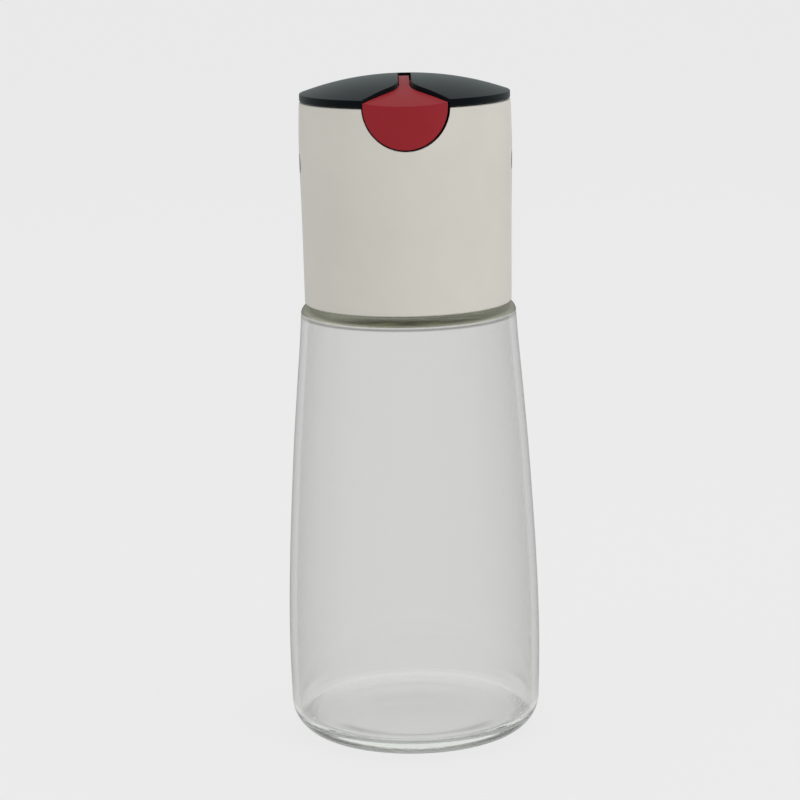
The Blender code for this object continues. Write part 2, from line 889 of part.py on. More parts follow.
def tube(name, points, radius, side_steps, group):
    """A solid round tube along a path, as a curve with a bevel and filled caps."""
    curve = bpy.data.curves.new(name, "CURVE")
    curve.dimensions = "3D"
    curve.bevel_depth = radius
    curve.bevel_resolution = side_steps
    curve.use_fill_caps = True
    spline = curve.splines.new("POLY")
    spline.points.add(len(points) - 1)
    for point, place in zip(spline.points, points):
        point.co = (*place, 1.0)
    item = bpy.data.objects.new(name, curve)
    group.objects.link(item)
    return baked(item)


def pour_spout(group, guides, finish):
    side_steps = 6
    spout = tube("pour_spout", spout_path(0.0, 0.0), spout_radius, side_steps, group)
    spout.data.materials.append(finish)
    flange_bottom = deck_top + 2.0 * seat_gap + spout_gasket_thickness
    flange = cylinder(
        "spout_flange",
        spout_flange_radius,
        (0.0, -spout_back, flange_bottom),
        (0.0, -spout_back, flange_bottom + spout_flange_thickness),
        guides,
        2 * small_lathe_steps,
    )
    combine(spout, flange, "UNION")
    bore = tube("spout_bore", spout_path(overrun, overrun), spout_bore_radius, side_steps, guides)
    combine(spout, bore, "DIFFERENCE")
    shade(spout)
    return spout


def ring(name, inner, outer, low, high, centre_y, group, finish, steps):
    """A flat turned ring around an upright axis at a distance along Y."""
    profile = [(outer, high), (outer, low), (inner, low), (inner, high)]
    item = turned(name, profile, group, finish, steps, ring=True)
    item.location.y = centre_y
    return item


def spout_gasket(group, finish):
    low = deck_top + seat_gap
    return ring(
        "spout_gasket",
        spout_radius + seat_gap,
        spout_flange_radius - seat_gap,
        low,
        low + spout_gasket_thickness,
        -spout_back,
        group,
        finish,
        2 * small_lathe_steps,
    )


def vent_gasket(group, finish):
    low = deck_top + seat_gap
    return ring(
        "vent_gasket",
        vent_radius + seat_gap,
        vent_flange_radius,
        low,
        low + vent_gasket_thickness,
        vent_back,
        group,
        finish,
        small_lathe_steps,
    )


def vent_tube(group, finish):
    top = deck_top + vent_above_deck
    flange_bottom = deck_top + 2.0 * seat_gap + vent_gasket_thickness
    flange_top = flange_bottom + vent_flange_thickness
    bottom = lip_top - vent_below_lip
    profile = [
        (vent_radius, top),
        (vent_radius, flange_top),
        (vent_flange_radius, flange_top),
        (vent_flange_radius, flange_bottom),
        (vent_radius, flange_bottom),
        (vent_radius, bottom),
        (vent_bore_radius, bottom),
        (vent_bore_radius, top),
    ]
    item = turned("vent_tube", profile, group, finish, small_lathe_steps, ring=True)
    item.location.y = vent_back
    shade(item)
    return item


def latch_tongue(name, side, group, guides, finish):
    """A springy upright tongue whose oval button fills a window of the collar."""
    inner_x = tongue_outer_x - tongue_thickness
    foot = deck_top + seat_gap
    top = window_centre + window_half_height + tongue_above_window
    low_x, high_x = sorted((side * inner_x, side * tongue_outer_x))
    tongue = box(name, (low_x, -tongue_half_width, foot), (high_x, tongue_half_width, top), group)
    tongue.data.materials.append(finish)
    reach = collar_widest_radius + overrun
    root_x = side * (inner_x + tongue_thickness / 2.0)
    low_x, high_x = sorted((root_x, side * reach))
    button = prism(
        name + "_button",
        stadium(window_half_length - window_gap, window_half_height - window_gap),
        low_x,
        high_x,
        ALONG_X,
        guides,
    )
    skin = turned(
        name + "_skin",
        [(0.0, rim)] + collar_skin() + [(0.0, collar_bottom)],
        guides,
    )
    combine(button, skin, "INTERSECT")
    combine(tongue, button, "UNION")
    set_origin(tongue, (root_x, 0.0, foot + tongue_pivot_rise))
    shade(tongue)
    return tongue


def build():
    clear_scene()
    parts = new_collection("oil_cruet")
    guides = new_collection("cutters_and_guides")
    glass = material("clear_glass", (0.80, 0.84, 0.81), 0.03, transmission=0.95, ior=1.51)
    white = material("warm_white_abs", (0.76, 0.74, 0.69), 0.34)
    grey = material("grey_abs", (0.23, 0.23, 0.22), 0.4)
    dark = material("charcoal_abs", (0.024, 0.032, 0.036), 0.38)
    inner = material("black_pp", (0.020, 0.021, 0.020), 0.45)
    natural = material("natural_pp", (0.60, 0.60, 0.47), 0.5)
    red = material("red_abs", (0.42, 0.018, 0.030), 0.36)
    silicone = material("grey_silicone", (0.30, 0.31, 0.30), 0.6)
    steel = material("stainless_pin", (0.62, 0.62, 0.60), 0.28, metallic=1.0)
    glass_bottle(parts, guides, glass)
    neck_gasket(parts, silicone)
    screw_insert(parts, guides, natural)
    cap_collar(parts, guides, white)
    top_cover(parts, guides, dark)
    pour_flap(parts, guides, red)
    flap_seal(parts, silicone)
    flap_counterweight(parts, steel)
    flap_hinge_pin(parts, steel)
    pour_spout(parts, guides, inner)
    spout_gasket(parts, silicone)
    vent_gasket(parts, silicone)
    vent_tube(parts, inner)
    latch_tongue("latch_tongue_left", -1.0, parts, guides, grey)
    latch_tongue("latch_tongue_right", 1.0, parts, guides, grey)


build()
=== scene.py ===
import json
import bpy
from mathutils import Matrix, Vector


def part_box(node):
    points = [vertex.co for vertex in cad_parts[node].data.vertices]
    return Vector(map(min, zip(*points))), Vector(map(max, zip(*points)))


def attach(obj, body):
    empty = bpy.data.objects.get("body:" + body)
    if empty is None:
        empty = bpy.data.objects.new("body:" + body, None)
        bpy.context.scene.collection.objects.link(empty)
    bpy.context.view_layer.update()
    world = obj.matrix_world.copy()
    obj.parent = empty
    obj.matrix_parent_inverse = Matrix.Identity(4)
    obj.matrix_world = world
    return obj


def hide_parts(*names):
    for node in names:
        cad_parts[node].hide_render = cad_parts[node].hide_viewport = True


bl_info = {
    "name": "Oil cruet dressing",
    "version": (1, 0, 0),
    "blender": (4, 5, 0),
    "location": "3D View > Sidebar > Oil cruet",
    "description": "Fine surfaces, finishes and a plain studio for the glass oil cruet",
    "category": "Object",
}

from math import atan2, cos, degrees, pi, radians, sin, sqrt, tan

import bmesh
import bpy
from bpy.props import FloatProperty, FloatVectorProperty, IntProperty, PointerProperty
from bpy.types import Node, NodeSocket, Operator, Panel, PropertyGroup
from mathutils import Matrix, Vector

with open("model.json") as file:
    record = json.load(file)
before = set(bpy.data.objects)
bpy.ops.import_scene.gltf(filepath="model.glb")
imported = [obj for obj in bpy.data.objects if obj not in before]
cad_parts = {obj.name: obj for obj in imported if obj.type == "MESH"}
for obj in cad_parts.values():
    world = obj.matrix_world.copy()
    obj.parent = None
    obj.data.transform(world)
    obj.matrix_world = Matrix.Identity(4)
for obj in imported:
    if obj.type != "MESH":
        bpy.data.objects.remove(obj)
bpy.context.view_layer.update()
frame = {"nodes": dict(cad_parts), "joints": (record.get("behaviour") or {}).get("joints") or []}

MM = 0.001
TURN = 2.0 * pi
WELD = 1e-6
TOUCH = 0.01 * MM
OVERRUN = 3.0 * MM
RUNNING_GAP = 0.3 * MM
KNUCKLE_HALF = 4.5 * MM
PIN_HOLE = 1.1 * MM


def mm(*sizes):
    return [size * MM for size in sizes]


# Heights that the solids give


def low(node):
    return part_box(node)[0]


def high(node):
    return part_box(node)[1]


RIM = high("cap_collar").z
COLLAR_FOOT = low("cap_collar").z
APEX = high("top_cover").z
BAND_LOW = RIM + RUNNING_GAP
BAND_HIGH = BAND_LOW + 2.0 * MM
DECK_TOP = low("latch_tongue_left").z - RUNNING_GAP
LIP_TOP = high("glass_bottle").z


FLAP_HINGE = Vector(next(joint["pos_m"] for joint in frame["joints"] if joint["child"] == "flap"))


def linear(text):
    """An sRGB hex colour as linear red, green and blue."""
    channels = [int(text[i : i + 2], 16) / 255.0 for i in (1, 3, 5)]
    return tuple(c / 12.92 if c <= 0.04045 else ((c + 0.055) / 1.055) ** 2.4 for c in channels)


def length(label, words, millimetres):
    start = millimetres * MM
    return FloatProperty(name=label, description=words, default=start, min=0.0, unit="LENGTH", precision=5)


def number(label, words, value):
    return FloatProperty(name=label, description=words, default=value, min=0.0)


def angle(label, words, degrees):
    return FloatProperty(name=label, description=words, default=radians(degrees), subtype="ANGLE")


def tint(label, words, text):
    start = linear(text)
    return FloatVectorProperty(name=label, description=words, default=start, min=0, max=1, subtype="COLOR")


# Sizes and colours that a user would change


class CruetBottleSizes(PropertyGroup):
    body_height: length("Body height", "Foot to shoulder", 125.2)
    widest_radius: length("Widest radius", "Outer radius low on the body", high("glass_bottle").x / MM)
    foot_radius: length("Foot radius", "Outer radius just above the heel", 36.0)
    shoulder_radius: length("Shoulder radius", "Outer radius under the cap", 30.6)
    heel_radius: length("Heel rounding", "Rounded edge at the foot", 9.2)
    shoulder_round: length("Shoulder rounding", "Rounded edge under the cap", 2.6)
    wall: length("Wall", "Thickness of the flank", 2.0)
    shoulder_wall: length("Shoulder wall", "Thickness of the shoulder", 2.27)
    inner_shoulder: length("Inner shoulder", "Rounding inside the shoulder", 0.6)
    floor: length("Floor", "Thickness of the base", 5.1)
    inner_heel: length("Inner heel", "Between the floor and the wall inside", 3.0)
    bearing_radius: length("Bearing ring", "Inner radius of the flat ring it stands on", 22.5)
    punt_depth: length("Punt", "How far the underside is pushed up", 0.6)
    ring_radius: length("Neck ring", "Radius of the ring at the neck's root", 27.5)
    ring_height: length("Neck ring height", "Height of that ring", 1.1)
    finish_radius: length("Neck radius", "Outer radius of the threaded neck", 25.0)
    bore_radius: length("Bore radius", "Radius inside the neck", 21.5)
    thread_height: length("Thread height", "How far the thread stands out", 1.1)
    thread_pitch: length("Thread pitch", "Rise of one turn of the thread", 6.0)


class CruetCapSizes(PropertyGroup):
    top_radius: length("Rim radius", "Collar radius at the rim", 29.7)
    widest_radius: length("Widest radius", "Collar radius at its swell", high("cap_collar").x / MM)
    foot_radius: length("Foot radius", "Collar radius at its lower edge", 29.4)
    wall: length("Wall", "Thickness of the collar", 1.6)
    edge: length("Edge rounding", "Rounding of the moulded edges", 0.28)
    cover_radius: length("Cover radius", "Radius of the dark band", 29.6)
    dome_power: number("Dome fullness", "Higher is flatter on top", 2.13)
    window_half_length: length("Window half length", "Half the length of a side window", 5.3)
    window_half_height: length("Window half height", "Half the height of a side window", 3.2)
    window_gap: length("Window gap", "Gap round the button in its window", 0.5)
    flap_gap: length("Flap gap", "Gap round the flap", 0.53)
    neck_gap: length("Neck gap", "Gap on each side of the flap's neck", 0.42)


class CruetFlapSizes(PropertyGroup):
    half_width: length("Half width", "Half the width of the half disc", high("pour_flap").x / MM - 0.1)
    disc_rise: length("Disc rise", "Centre of the half disc above the rim", 0.55)
    front_rise: length("Front rise", "Front of the top surface above the rim", 0.8)
    recess: length("Recess", "How far the neck lies under the crest", 0.5)
    neck_half_width: length("Neck half width", "Half the width of the neck", 1.42)
    neck_start: length("Neck start", "From the axis to the neck's end", 17.1)
    neck_fillet: length("Neck fillet", "Where the flanks meet the neck", 9.0)
    wall: length("Wall", "Thickness of the moulding", 2.2)
    edge: length("Edge rounding", "Rounding of the moulded edges", 0.22)
    side_play: length("Side play", "How far left it sits in its notch", 0.16)


class CruetColours(PropertyGroup):
    glass: tint("Glass", "Tint of one wall of glass", "#F3F3F2")
    collar: tint("Collar", "Warm white plastic", "#CCC9C0")
    cover: tint("Cover", "Charcoal plastic", "#080D10")
    flap: tint("Flap", "Deep red plastic", "#901E26")
    catch: tint("Side catches", "Mid grey plastic", "#7F7F7C")
    inside: tint("Spout", "Black plastic, also of the vent", "#171917")
    insert: tint("Screw insert", "Undyed plastic", "#ECECC0")
    silicone: tint("Seals", "Grey silicone", "#8E908C")
    steel: tint("Pin and weight", "Stainless steel", "#C4C2BD")


class CruetStageSettings(PropertyGroup):
    backdrop: tint("Backdrop", "Colour behind the cruet", "#ECECEC")
    floor_gap: length("Floor gap", "Air under the foot, so that no faces coincide", 0.15)
    lit_depth: length("Lit depth", "Where the lit paper fades in front", 120.0)
    floor_plain: number("Plain floor", "Share of the floor that takes no shadow", 0.93)
    floor_mirrored: number("Mirrored floor", "Share that reflections show in front", 0.06)
    floor_lit: number("Mirrored lit floor", "Share beside and behind the bottle", 0.3)
    floor_near: number("Mirrored near floor", "Share close to the bottle", 0.6)
    air_mirrored: number("Mirrored air", "Share behind the bottle", 0.45)
    room_mirrored: number("Mirrored room", "Share on the camera's side", 0.12)
    distance: length("Camera distance", "From the bottle's axis", 762.0)
    swing: angle("Swing", "How far the camera stands to the left", 0.55)
    camera_height: length("Camera height", "Above the floor", 250.5)
    focal: number("Focal length", "In millimetres, on a 36 mm sensor", 121.95)
    pitch: angle("Pitch", "Downward tilt", 11.41)
    yaw: angle("Yaw", "Turn to the left", 0.22)
    roll: angle("Roll", "Lean of the view", 1.12)
    ambient: number("Ambient", "Strength of the light from all round", 0.74)
    key: number("Key lamp", "Power, at the front right", 5.6)
    fill: number("Fill lamp", "Power, at the left", 3.2)
    top: number("Top lamp", "Power, overhead", 3.6)
    lathe_steps: IntProperty(name="Lathe steps", description="Segments of a full turn", default=192, min=24)


def values(group):
    """The scene's own values of one of the groups above."""
    return getattr(bpy.context.scene, "cruet_" + group)


# Shaping


def arc(centre, radius, start, end, steps=8):
    """Points of an arc with both ends. Angles are in degrees."""
    angles = [radians(start + (end - start) * i / steps) for i in range(steps + 1)]
    return [(centre[0] + radius * cos(a), centre[1] + radius * sin(a)) for a in angles]


def between(p, q, r, s, t):
    """A point from q to r on a curve that heads as the neighbours p and s say."""
    return 0.5 * (2 * q + (r - p) * t + (2 * p - 5 * q + 4 * r - s) * t**2 + (3 * q - p - 3 * r + s) * t**3)


def flowing(points, steps):
    """A smooth curve through every point, in both directions even at its ends."""
    ends = [points[0]] + list(points) + [points[-1]]
    made = []
    for four in zip(ends, ends[1:], ends[2:], ends[3:]):
        for i in range(steps):
            made.append(tuple(between(*row, i / steps) for row in zip(*four)))
    return made + [tuple(points[-1])]


def placed(name, data):
    """A new object in the scene."""
    made = bpy.data.objects.new(name, data)
    bpy.context.scene.collection.objects.link(made)
    return made


def new_piece(name, work, finish=None):
    """Closes a bmesh into a smooth-shaded object."""
    bmesh.ops.recalc_face_normals(work, faces=work.faces)
    mesh = bpy.data.meshes.new(name)
    work.to_mesh(mesh)
    work.free()
    if finish is not None:
        mesh.materials.append(finish)
    mesh.shade_smooth()
    return placed(name, mesh)


def spun(profile, steps, ring=False):
    """A profile of (radius, height) turned round Z."""
    work = bmesh.new()
    verts = [work.verts.new((r, 0.0, z)) for r, z in profile]
    edges = [work.edges.new(pair) for pair in zip(verts, verts[1:])]
    if ring:
        edges.append(work.edges.new((verts[-1], verts[0])))
    around = {"cent": (0.0, 0.0, 0.0), "axis": (0.0, 0.0, 1.0), "angle": TURN}
    bmesh.ops.spin(work, geom=verts + edges, steps=steps, use_merge=True, **around)
    bmesh.ops.remove_doubles(work, verts=work.verts, dist=WELD)
    return work


def turned(name, profile, finish=None, ring=False):
    """A turned body. A ring's profile is a closed loop; any other starts and ends on the axis."""
    return new_piece(name, spun(profile, values("stage").lathe_steps, ring), finish)


PLACES = {
    "X": lambda a, b, c: (c, a, b),
    "Y": lambda a, b, c: (a, c, b),
    "Z": lambda a, b, c: (a, b, c),
}


def prism(name, outline, start, end, axis, finish=None):
    """A flat outline made thick from start to end along a world axis."""
    place = PLACES[axis]
    work = bmesh.new()
    face = work.faces.new([work.verts.new(place(a, b, start)) for a, b in outline])
    grown = bmesh.ops.extrude_face_region(work, geom=[face])
    moved = [v for v in grown["geom"] if isinstance(v, bmesh.types.BMVert)]
    bmesh.ops.translate(work, verts=moved, vec=place(0.0, 0.0, end - start))
    return new_piece(name, work, finish)


def rod(name, radius, start, end, finish=None, sides=64, edge=0.0):
    """A round bar between two points, with softened rims if it has an edge."""
    start, end = Vector(start), Vector(end)
    along = end - start
    reach = along.length / 2.0
    if edge > 0.0:
        side = arc((radius - edge, reach - edge), edge, 90, 0, 4)
        side += arc((radius - edge, edge - reach), edge, 0, -90, 4)
    else:
        side = [(radius, reach), (radius, -reach)]
    work = spun([(0.0, reach)] + side + [(0.0, -reach)], sides)
    turn = along.to_track_quat("Z", "Y").to_matrix().to_4x4()
    place = Matrix.Translation((start + end) / 2.0) @ turn
    bmesh.ops.transform(work, matrix=place, verts=work.verts)
    return new_piece(name, work, finish)


def combine(piece, tool, operation):
    """Cuts, joins or intersects the piece with a tool, which is then removed."""
    step = piece.modifiers.new(operation, "BOOLEAN")
    step.operation = operation
    step.object = tool
    bpy.context.view_layer.update()
    made = bpy.data.meshes.new_from_object(piece.evaluated_get(bpy.context.evaluated_depsgraph_get()))
    piece.modifiers.clear()
    piece.data = made
    bpy.data.objects.remove(tool, do_unlink=True)


def soften(piece, width):
    """Rounds the cut edges as a mould does, and keeps broad faces even."""
    work = bmesh.new()
    work.from_mesh(piece.data)
    bmesh.ops.remove_doubles(work, verts=work.verts, dist=TOUCH)
    bmesh.ops.dissolve_degenerate(work, dist=TOUCH, edges=work.edges)
    work.to_mesh(piece.data)
    work.free()
    piece.data.shade_smooth()
    edge = piece.modifiers.new("moulded edge", "BEVEL")
    edge.width = width
    edge.segments = 3
    edge.limit_method = "ANGLE"
    edge.angle_limit = radians(38.0)
    piece.modifiers.new("even faces", "WEIGHTED_NORMAL").keep_sharp = True


def bridge(work, rings):
    """Joins each ring of corners to the next one."""
    for ring, following in zip(rings, rings[1:]):
        for i in range(len(ring)):
            k = (i + 1) % len(ring)
            work.faces.new((ring[i], ring[k], following[k], following[i]))


def swept(name, stations, finish, sides):
    """A hollow tube: rings of (centre, direction, radius) in the YZ plane, joined end to start."""
    work = bmesh.new()
    rings = []
    for centre, along, radius in stations:
        across = Vector((0.0, -along.z, along.y))
        ring = []
        for i in range(sides):
            turn = TURN * i / sides
            offset = Vector((cos(turn), 0.0, 0.0)) + across * sin(turn)
            ring.append(work.verts.new(centre + offset * radius))
        rings.append(ring)
    bridge(work, rings + rings[:1])
    return new_piece(name, work, finish)


# Finishes. A pattern's scale is one over the real size of its features in metres.

MATH = "ShaderNodeMath"
SPAN = "ShaderNodeMapRange"
NOISE = "ShaderNodeTexNoise"
BLEND = "ShaderNodeMixRGB"
BUMP = "ShaderNodeBump"


def plug(tree, node, inputs):
    """Gives inputs a value, or links them to a socket or to another node's first output."""
    for key, value in inputs.items():
        if isinstance(value, Node):
            value = value.outputs[0]
        if isinstance(value, NodeSocket):
            tree.links.new(value, node.inputs[key])
        else:
            node.inputs[key].default_value = value


def add(tree, kind, inputs=None, **settings):
    """Adds a node with its settings and links."""
    node = tree.nodes.new(kind)
    for key, value in settings.items():
        setattr(node, key, value)
    plug(tree, node, inputs or {})
    return node


def opaque(colour, part=1.0):
    """A colour as nodes take it, made darker or lighter by a factor."""
    return (*(min(1.0, part * c) for c in colour), 1.0)


def new_finish(name):
    """An empty material with its shader and its object coordinates in metres."""
    finish = bpy.data.materials.new(name)
    finish.use_nodes = True
    tree = finish.node_tree
    place = add(tree, "ShaderNodeTexCoord").outputs["Object"]
    return finish, tree, tree.nodes["Principled BSDF"], place


def blown_glass(name):
    """Soda-lime glass blown into a mould: clear and smooth, with faint waves in the flank, a light
    green where the path through it is long, and fine stippling where the heel met the mould."""
    size, clear = values("bottle"), values("colours").glass
    bend = size.body_height - size.shoulder_round
    wave_size, stipple_size = mm(30.0, 0.8)
    finish, tree, shader, place = new_finish(name)
    # Painted shade: the glass's colour is darker where a face is met at a low angle, standing in for the
    # light that each pass through a face costs, so the flanks turn grey at the sides.
    facing = add(tree, "ShaderNodeLayerWeight", {"Blend": 0.5}).outputs["Facing"]
    colour = add(tree, "ShaderNodeValToRGB", {"Fac": facing})
    stops = colour.color_ramp.elements
    stops[0].color = opaque(clear)
    stops[1].color = opaque(clear, 0.7)
    for position, part in ((0.2, 0.98), (0.35, 0.935), (0.5, 0.89), (0.75, 0.8)):
        stops.new(position).color = opaque(clear, part)
    along = add(tree, "ShaderNodeSeparateXYZ", {"Vector": place}).outputs
    height = along["Z"]
    plan = add(tree, "ShaderNodeVectorMath", {0: place, 1: (1.0, 1.0, 0.0)}, operation="MULTIPLY")
    radius = add(tree, "ShaderNodeVectorMath", {0: plan}, operation="LENGTH").outputs["Value"]
    # Where each thing is: none at the first value, and full at the second.
    spread = {
        "foot": (height, 3.4 * MM, 2.2 * MM),
        "heel rim": (radius, 28.5 * MM, 30.0 * MM),
        "over the bend": (height, bend + 0.2 * MM, bend + 0.6 * MM),
        "off the neck": (radius, size.ring_radius - 0.6 * MM, size.ring_radius - 0.1 * MM),
        "base": (height, 9.6 * MM, 8.6 * MM),
        "deep base": (height, 5.9 * MM, 5.5 * MM),
        "grazed": (facing, 0.3, 0.55),
        "floor": (height, 3.6 * MM, 4.2 * MM),
        "front": (along["Y"], -13.0 * MM, -18.0 * MM),
    }
    at = {}
    for word, (value, none, full) in spread.items():
        at[word] = add(tree, SPAN, {"Value": value, "From Min": none, "From Max": full})
    # Fine lines of painted shade: a thin darker line just under the bend, and a darker ring on the floor
    # inside, seen from the front.
    lines = (("painted_shade_line", height, bend - 0.5 * MM, 0.5 * MM, 0.9), ("painted_shade_ring", radius, 25.6 * MM, 2.0 * MM, 0.8))
    for word, value, middle, half, strength in lines:
        off = add(tree, MATH, {0: value, 1: middle}, operation="SUBTRACT")
        away = add(tree, MATH, {0: off}, operation="ABSOLUTE")
        fade = {"Value": away, "From Max": half, "To Min": strength, "To Max": 0.0}
        at[word] = add(tree, SPAN, fade)
    both = {
        "stippled": ("foot", "heel rim"),
        "uneven": ("over the bend", "off the neck"),
        "grazed base": ("base", "grazed"),
        "front floor": ("floor", "front"),
        "front_painted_shade_ring": ("painted_shade_ring", "front floor"),
    }
    for word, (first, second) in both.items():
        at[word] = add(tree, MATH, {0: at[first], 1: at[second]}, operation="MULTIPLY")
    # Painted light: the thick base takes a clear colour, lighter than the glass, so that it isn't dimmed as
    # the flanks are.
    thick = {0: at["grazed base"], 1: at["deep base"]}
    at["painted_lit_base"] = add(tree, MATH, thick, operation="MAXIMUM")
    # Blowing leaves the bend of the shoulder uneven, so what lies behind it melts into one olive band.
    # Painted light and shade among these tones: the base is lighter, and the line under the bend and the
    # ring on the floor are darker.
    tones = {"painted_lit_base": "#FFFFFE", "uneven": "#FFFFE5", "painted_shade_line": "#81817C", "front_painted_shade_ring": "#959595"}
    for word, text in tones.items():
        mixed = {"Fac": at[word], "Color1": colour, "Color2": opaque(linear(text))}
        colour = add(tree, BLEND, mixed)
    # The underside is matt from the mould, so that it passes light on instead of mirroring it.
    matt = add(tree, MATH, {0: at["foot"], 1: 0.32}, operation="MULTIPLY")
    rough = add(tree, MATH, {0: at["uneven"], 1: 0.42, 2: matt}, operation="MULTIPLY_ADD")
    waves = add(tree, NOISE, {"Vector": place, "Scale": 1.0 / wave_size, "Detail": 0.0})
    flank = add(tree, BUMP, {"Height": waves, "Strength": 0.015, "Distance": 0.15 * MM})
    dimples = add(tree, "ShaderNodeTexVoronoi", {"Vector": place, "Scale": 1.0 / stipple_size})
    stipple = add(tree, MATH, {0: dimples, 1: at["stippled"]}, operation="MULTIPLY")
    relief = {"Height": stipple, "Strength": 0.5, "Distance": 0.2 * MM, "Normal": flank}
    plug(tree, shader, {"Base Color": colour, "Roughness": rough, "IOR": 1.52, "Transmission Weight": 1.0})
    plug(tree, shader, {"Normal": add(tree, BUMP, relief)})
    depth = add(tree, "ShaderNodeVolumeAbsorption", {"Color": opaque(linear("#CEDFCB")), "Density": 4.5})
    plug(tree, tree.nodes["Material Output"], {"Volume": depth})
    return finish


# Colour, roughness, grain size and grain depth in mm, colour drift, specular, sheen and sheen tint
PLASTICS = {
    # A satin skin that takes a wide, soft highlight
    "abs_warm_white_moulded": ("collar", 0.42, 0.35, 0.03, 0.02, 0.15, 0.4, "#FFFFFF"),
    # A tone darker than the collar round it, with a fine texture
    "abs_grey_moulded": ("catch", 0.45, 0.30, 0.03, 0.03, 0.5, 0.0, "#FFFFFF"),
    # Near black face on, lifted to slate where light grazes it
    "abs_charcoal_moulded": ("cover", 0.36, 0.30, 0.03, 0.06, 0.15, 0.12, "#E1FFFF"),
    # Semi-gloss, from a polished mould with a light texture
    "abs_red_moulded": ("flap", 0.38, 0.30, 0.02, 0.04, 0.3, 0.0, "#FFFFFF"),
    # Waxy and slightly grey, without a sharp highlight
    "polypropylene_black_moulded": ("inside", 0.5, 0.45, 0.03, 0.08, 0.5, 0.0, "#FFFFFF"),
    # Milky, slightly yellow-green and waxy, undyed; it shows through the glass shoulder
    "polypropylene_natural_moulded": ("insert", 0.5, 0.45, 0.03, 0.03, 0.5, 0.0, "#FFFFFF"),
}


def moulded_plastic(name):
    """Injection-moulded plastic: a fine spark-eroded grain, soft sheen, and slight colour drift."""
    dye, rough, grain_size, grain_depth, drift, specular, sheen, cast = PLASTICS[name]
    finish, tree, shader, place = new_finish(name)
    drift_size = 18.0 * MM
    broad = {"Vector": place, "Scale": 1.0 / drift_size, "Detail": 2.0}
    fine = {"Vector": place, "Scale": 1.0 / (grain_size * MM), "Detail": 3.0, "Roughness": 0.6}
    grain = add(tree, NOISE, fine)
    varied = []
    for noise, middle, reach in ((add(tree, NOISE, broad), 1.0, drift), (grain, rough, 0.05)):
        about = {"From Min": 0.3, "From Max": 0.7, "To Min": middle - reach, "To Max": middle + reach}
        varied.append(add(tree, SPAN, {"Value": noise, **about}))
    pigment = {"Fac": 1.0, "Color1": opaque(getattr(values("colours"), dye)), "Color2": varied[0]}
    relief = {"Height": grain, "Strength": 0.25, "Distance": grain_depth * MM}
    plug(tree, shader, {"Base Color": add(tree, BLEND, pigment, blend_type="MULTIPLY")})
    plug(tree, shader, {"Roughness": varied[1], "Normal": add(tree, BUMP, relief)})
    plug(tree, shader, {"IOR": 1.5, "Specular IOR Level": specular})
    plug(tree, shader, {"Sheen Weight": sheen, "Sheen Roughness": 0.4, "Sheen Tint": opaque(linear(cast))})
    return finish


def moulded_silicone(name):
    """Moulded silicone rubber: soft, matte and slightly dusty, so it takes almost no highlight."""
    finish, tree, shader, place = new_finish(name)
    grey, dust_size = values("colours").silicone, 2.5 * MM
    dust = add(tree, NOISE, {"Vector": place, "Scale": 1.0 / dust_size, "Detail": 4.0})
    shade = {"Fac": dust, "Color1": opaque(grey, 0.88), "Color2": opaque(grey, 1.08)}
    relief = {"Height": dust, "Strength": 0.2, "Distance": 0.05 * MM}
    plug(tree, shader, {"Base Color": add(tree, BLEND, shade), "Roughness": 0.62, "IOR": 1.41})
    plug(tree, shader, {"Normal": add(tree, BUMP, relief)})
    return finish


def turned_steel(name):
    """Stainless bar turned on a lathe: bright, with fine rings round the bar."""
    finish, tree, shader, place = new_finish(name)
    # Real tool marks are under 0.1 mm; these are drawn at 0.25 mm so that they show.
    mark = 0.25 * MM
    marks = {"Vector": place, "Scale": 1.0 / mark / TURN, "Distortion": 0.4}
    rings = add(tree, "ShaderNodeTexWave", marks, bands_direction="X").outputs["Fac"]
    shine = add(tree, SPAN, {"Value": rings, "To Min": 0.22, "To Max": 0.34})
    relief = add(tree, BUMP, {"Height": rings, "Strength": 0.15, "Distance": 0.02 * MM})
    plug(tree, shader, {"Base Color": opaque(values("colours").steel), "Metallic": 1.0})
    plug(tree, shader, {"Roughness": shine, "Normal": relief})
    return finish


OTHER_FINISHES = {
    "soda_lime_glass_blown": blown_glass,
    "silicone_moulded": moulded_silicone,
    "stainless_steel_turned": turned_steel,
}


def made_of(name):
    """The material of that name, made when it is first asked for."""
    maker = OTHER_FINISHES.get(name, moulded_plastic)
    return bpy.data.materials.get(name) or maker(name)


# Outlines shared by the cap's pieces


def collar_skin():
    """The collar's outer side from the rim down to the foot, (radius, height)."""
    cap = values("cap")
    tall = RIM - COLLAR_FOOT
    widest_share, lower_share, lower_radius_share = 0.77, 0.40, 0.38
    lower_r = cap.foot_radius + lower_radius_share * (cap.widest_radius - cap.foot_radius)
    points = [
        (cap.top_radius, RIM),
        (cap.widest_radius, COLLAR_FOOT + widest_share * tall),
        (lower_r, COLLAR_FOOT + lower_share * tall),
        (cap.foot_radius, COLLAR_FOOT),
    ]
    return [(min(r, cap.widest_radius), z) for r, z in flowing(points, 6)]


def dome_height(radius, drop=0.0):
    cap = values("cap")
    share = min(1.0, radius / cap.cover_radius)
    return BAND_HIGH - drop + (APEX - BAND_HIGH) * (1.0 - share**cap.dome_power)


def flap_height(y):
    """Height of the flap's top surface, curved along Y only."""
    flap, curve = values("flap"), 1.8
    front = RIM + flap.front_rise
    crest = APEX - flap.recess
    return front + (crest - front) * (1.0 - (abs(y) / values("cap").cover_radius) ** curve)


def swing_radius():
    return APEX - values("flap").recess - FLAP_HINGE.z


def moved_out(points, distance):
    """A counterclockwise outline moved outwards with sharp corners."""
    made = []
    count = len(points)
    for i in range(count):
        before, here, after = (Vector(points[(i + k) % count]) for k in (-1, 0, 1))
        first, second = (here - before).normalized(), (after - here).normalized()
        out_first = Vector((first.y, -first.x))
        out_second = Vector((second.y, -second.x))
        made.append(tuple(here + (out_first + out_second) * (distance / (1.0 + out_first.dot(out_second)))))
    return made


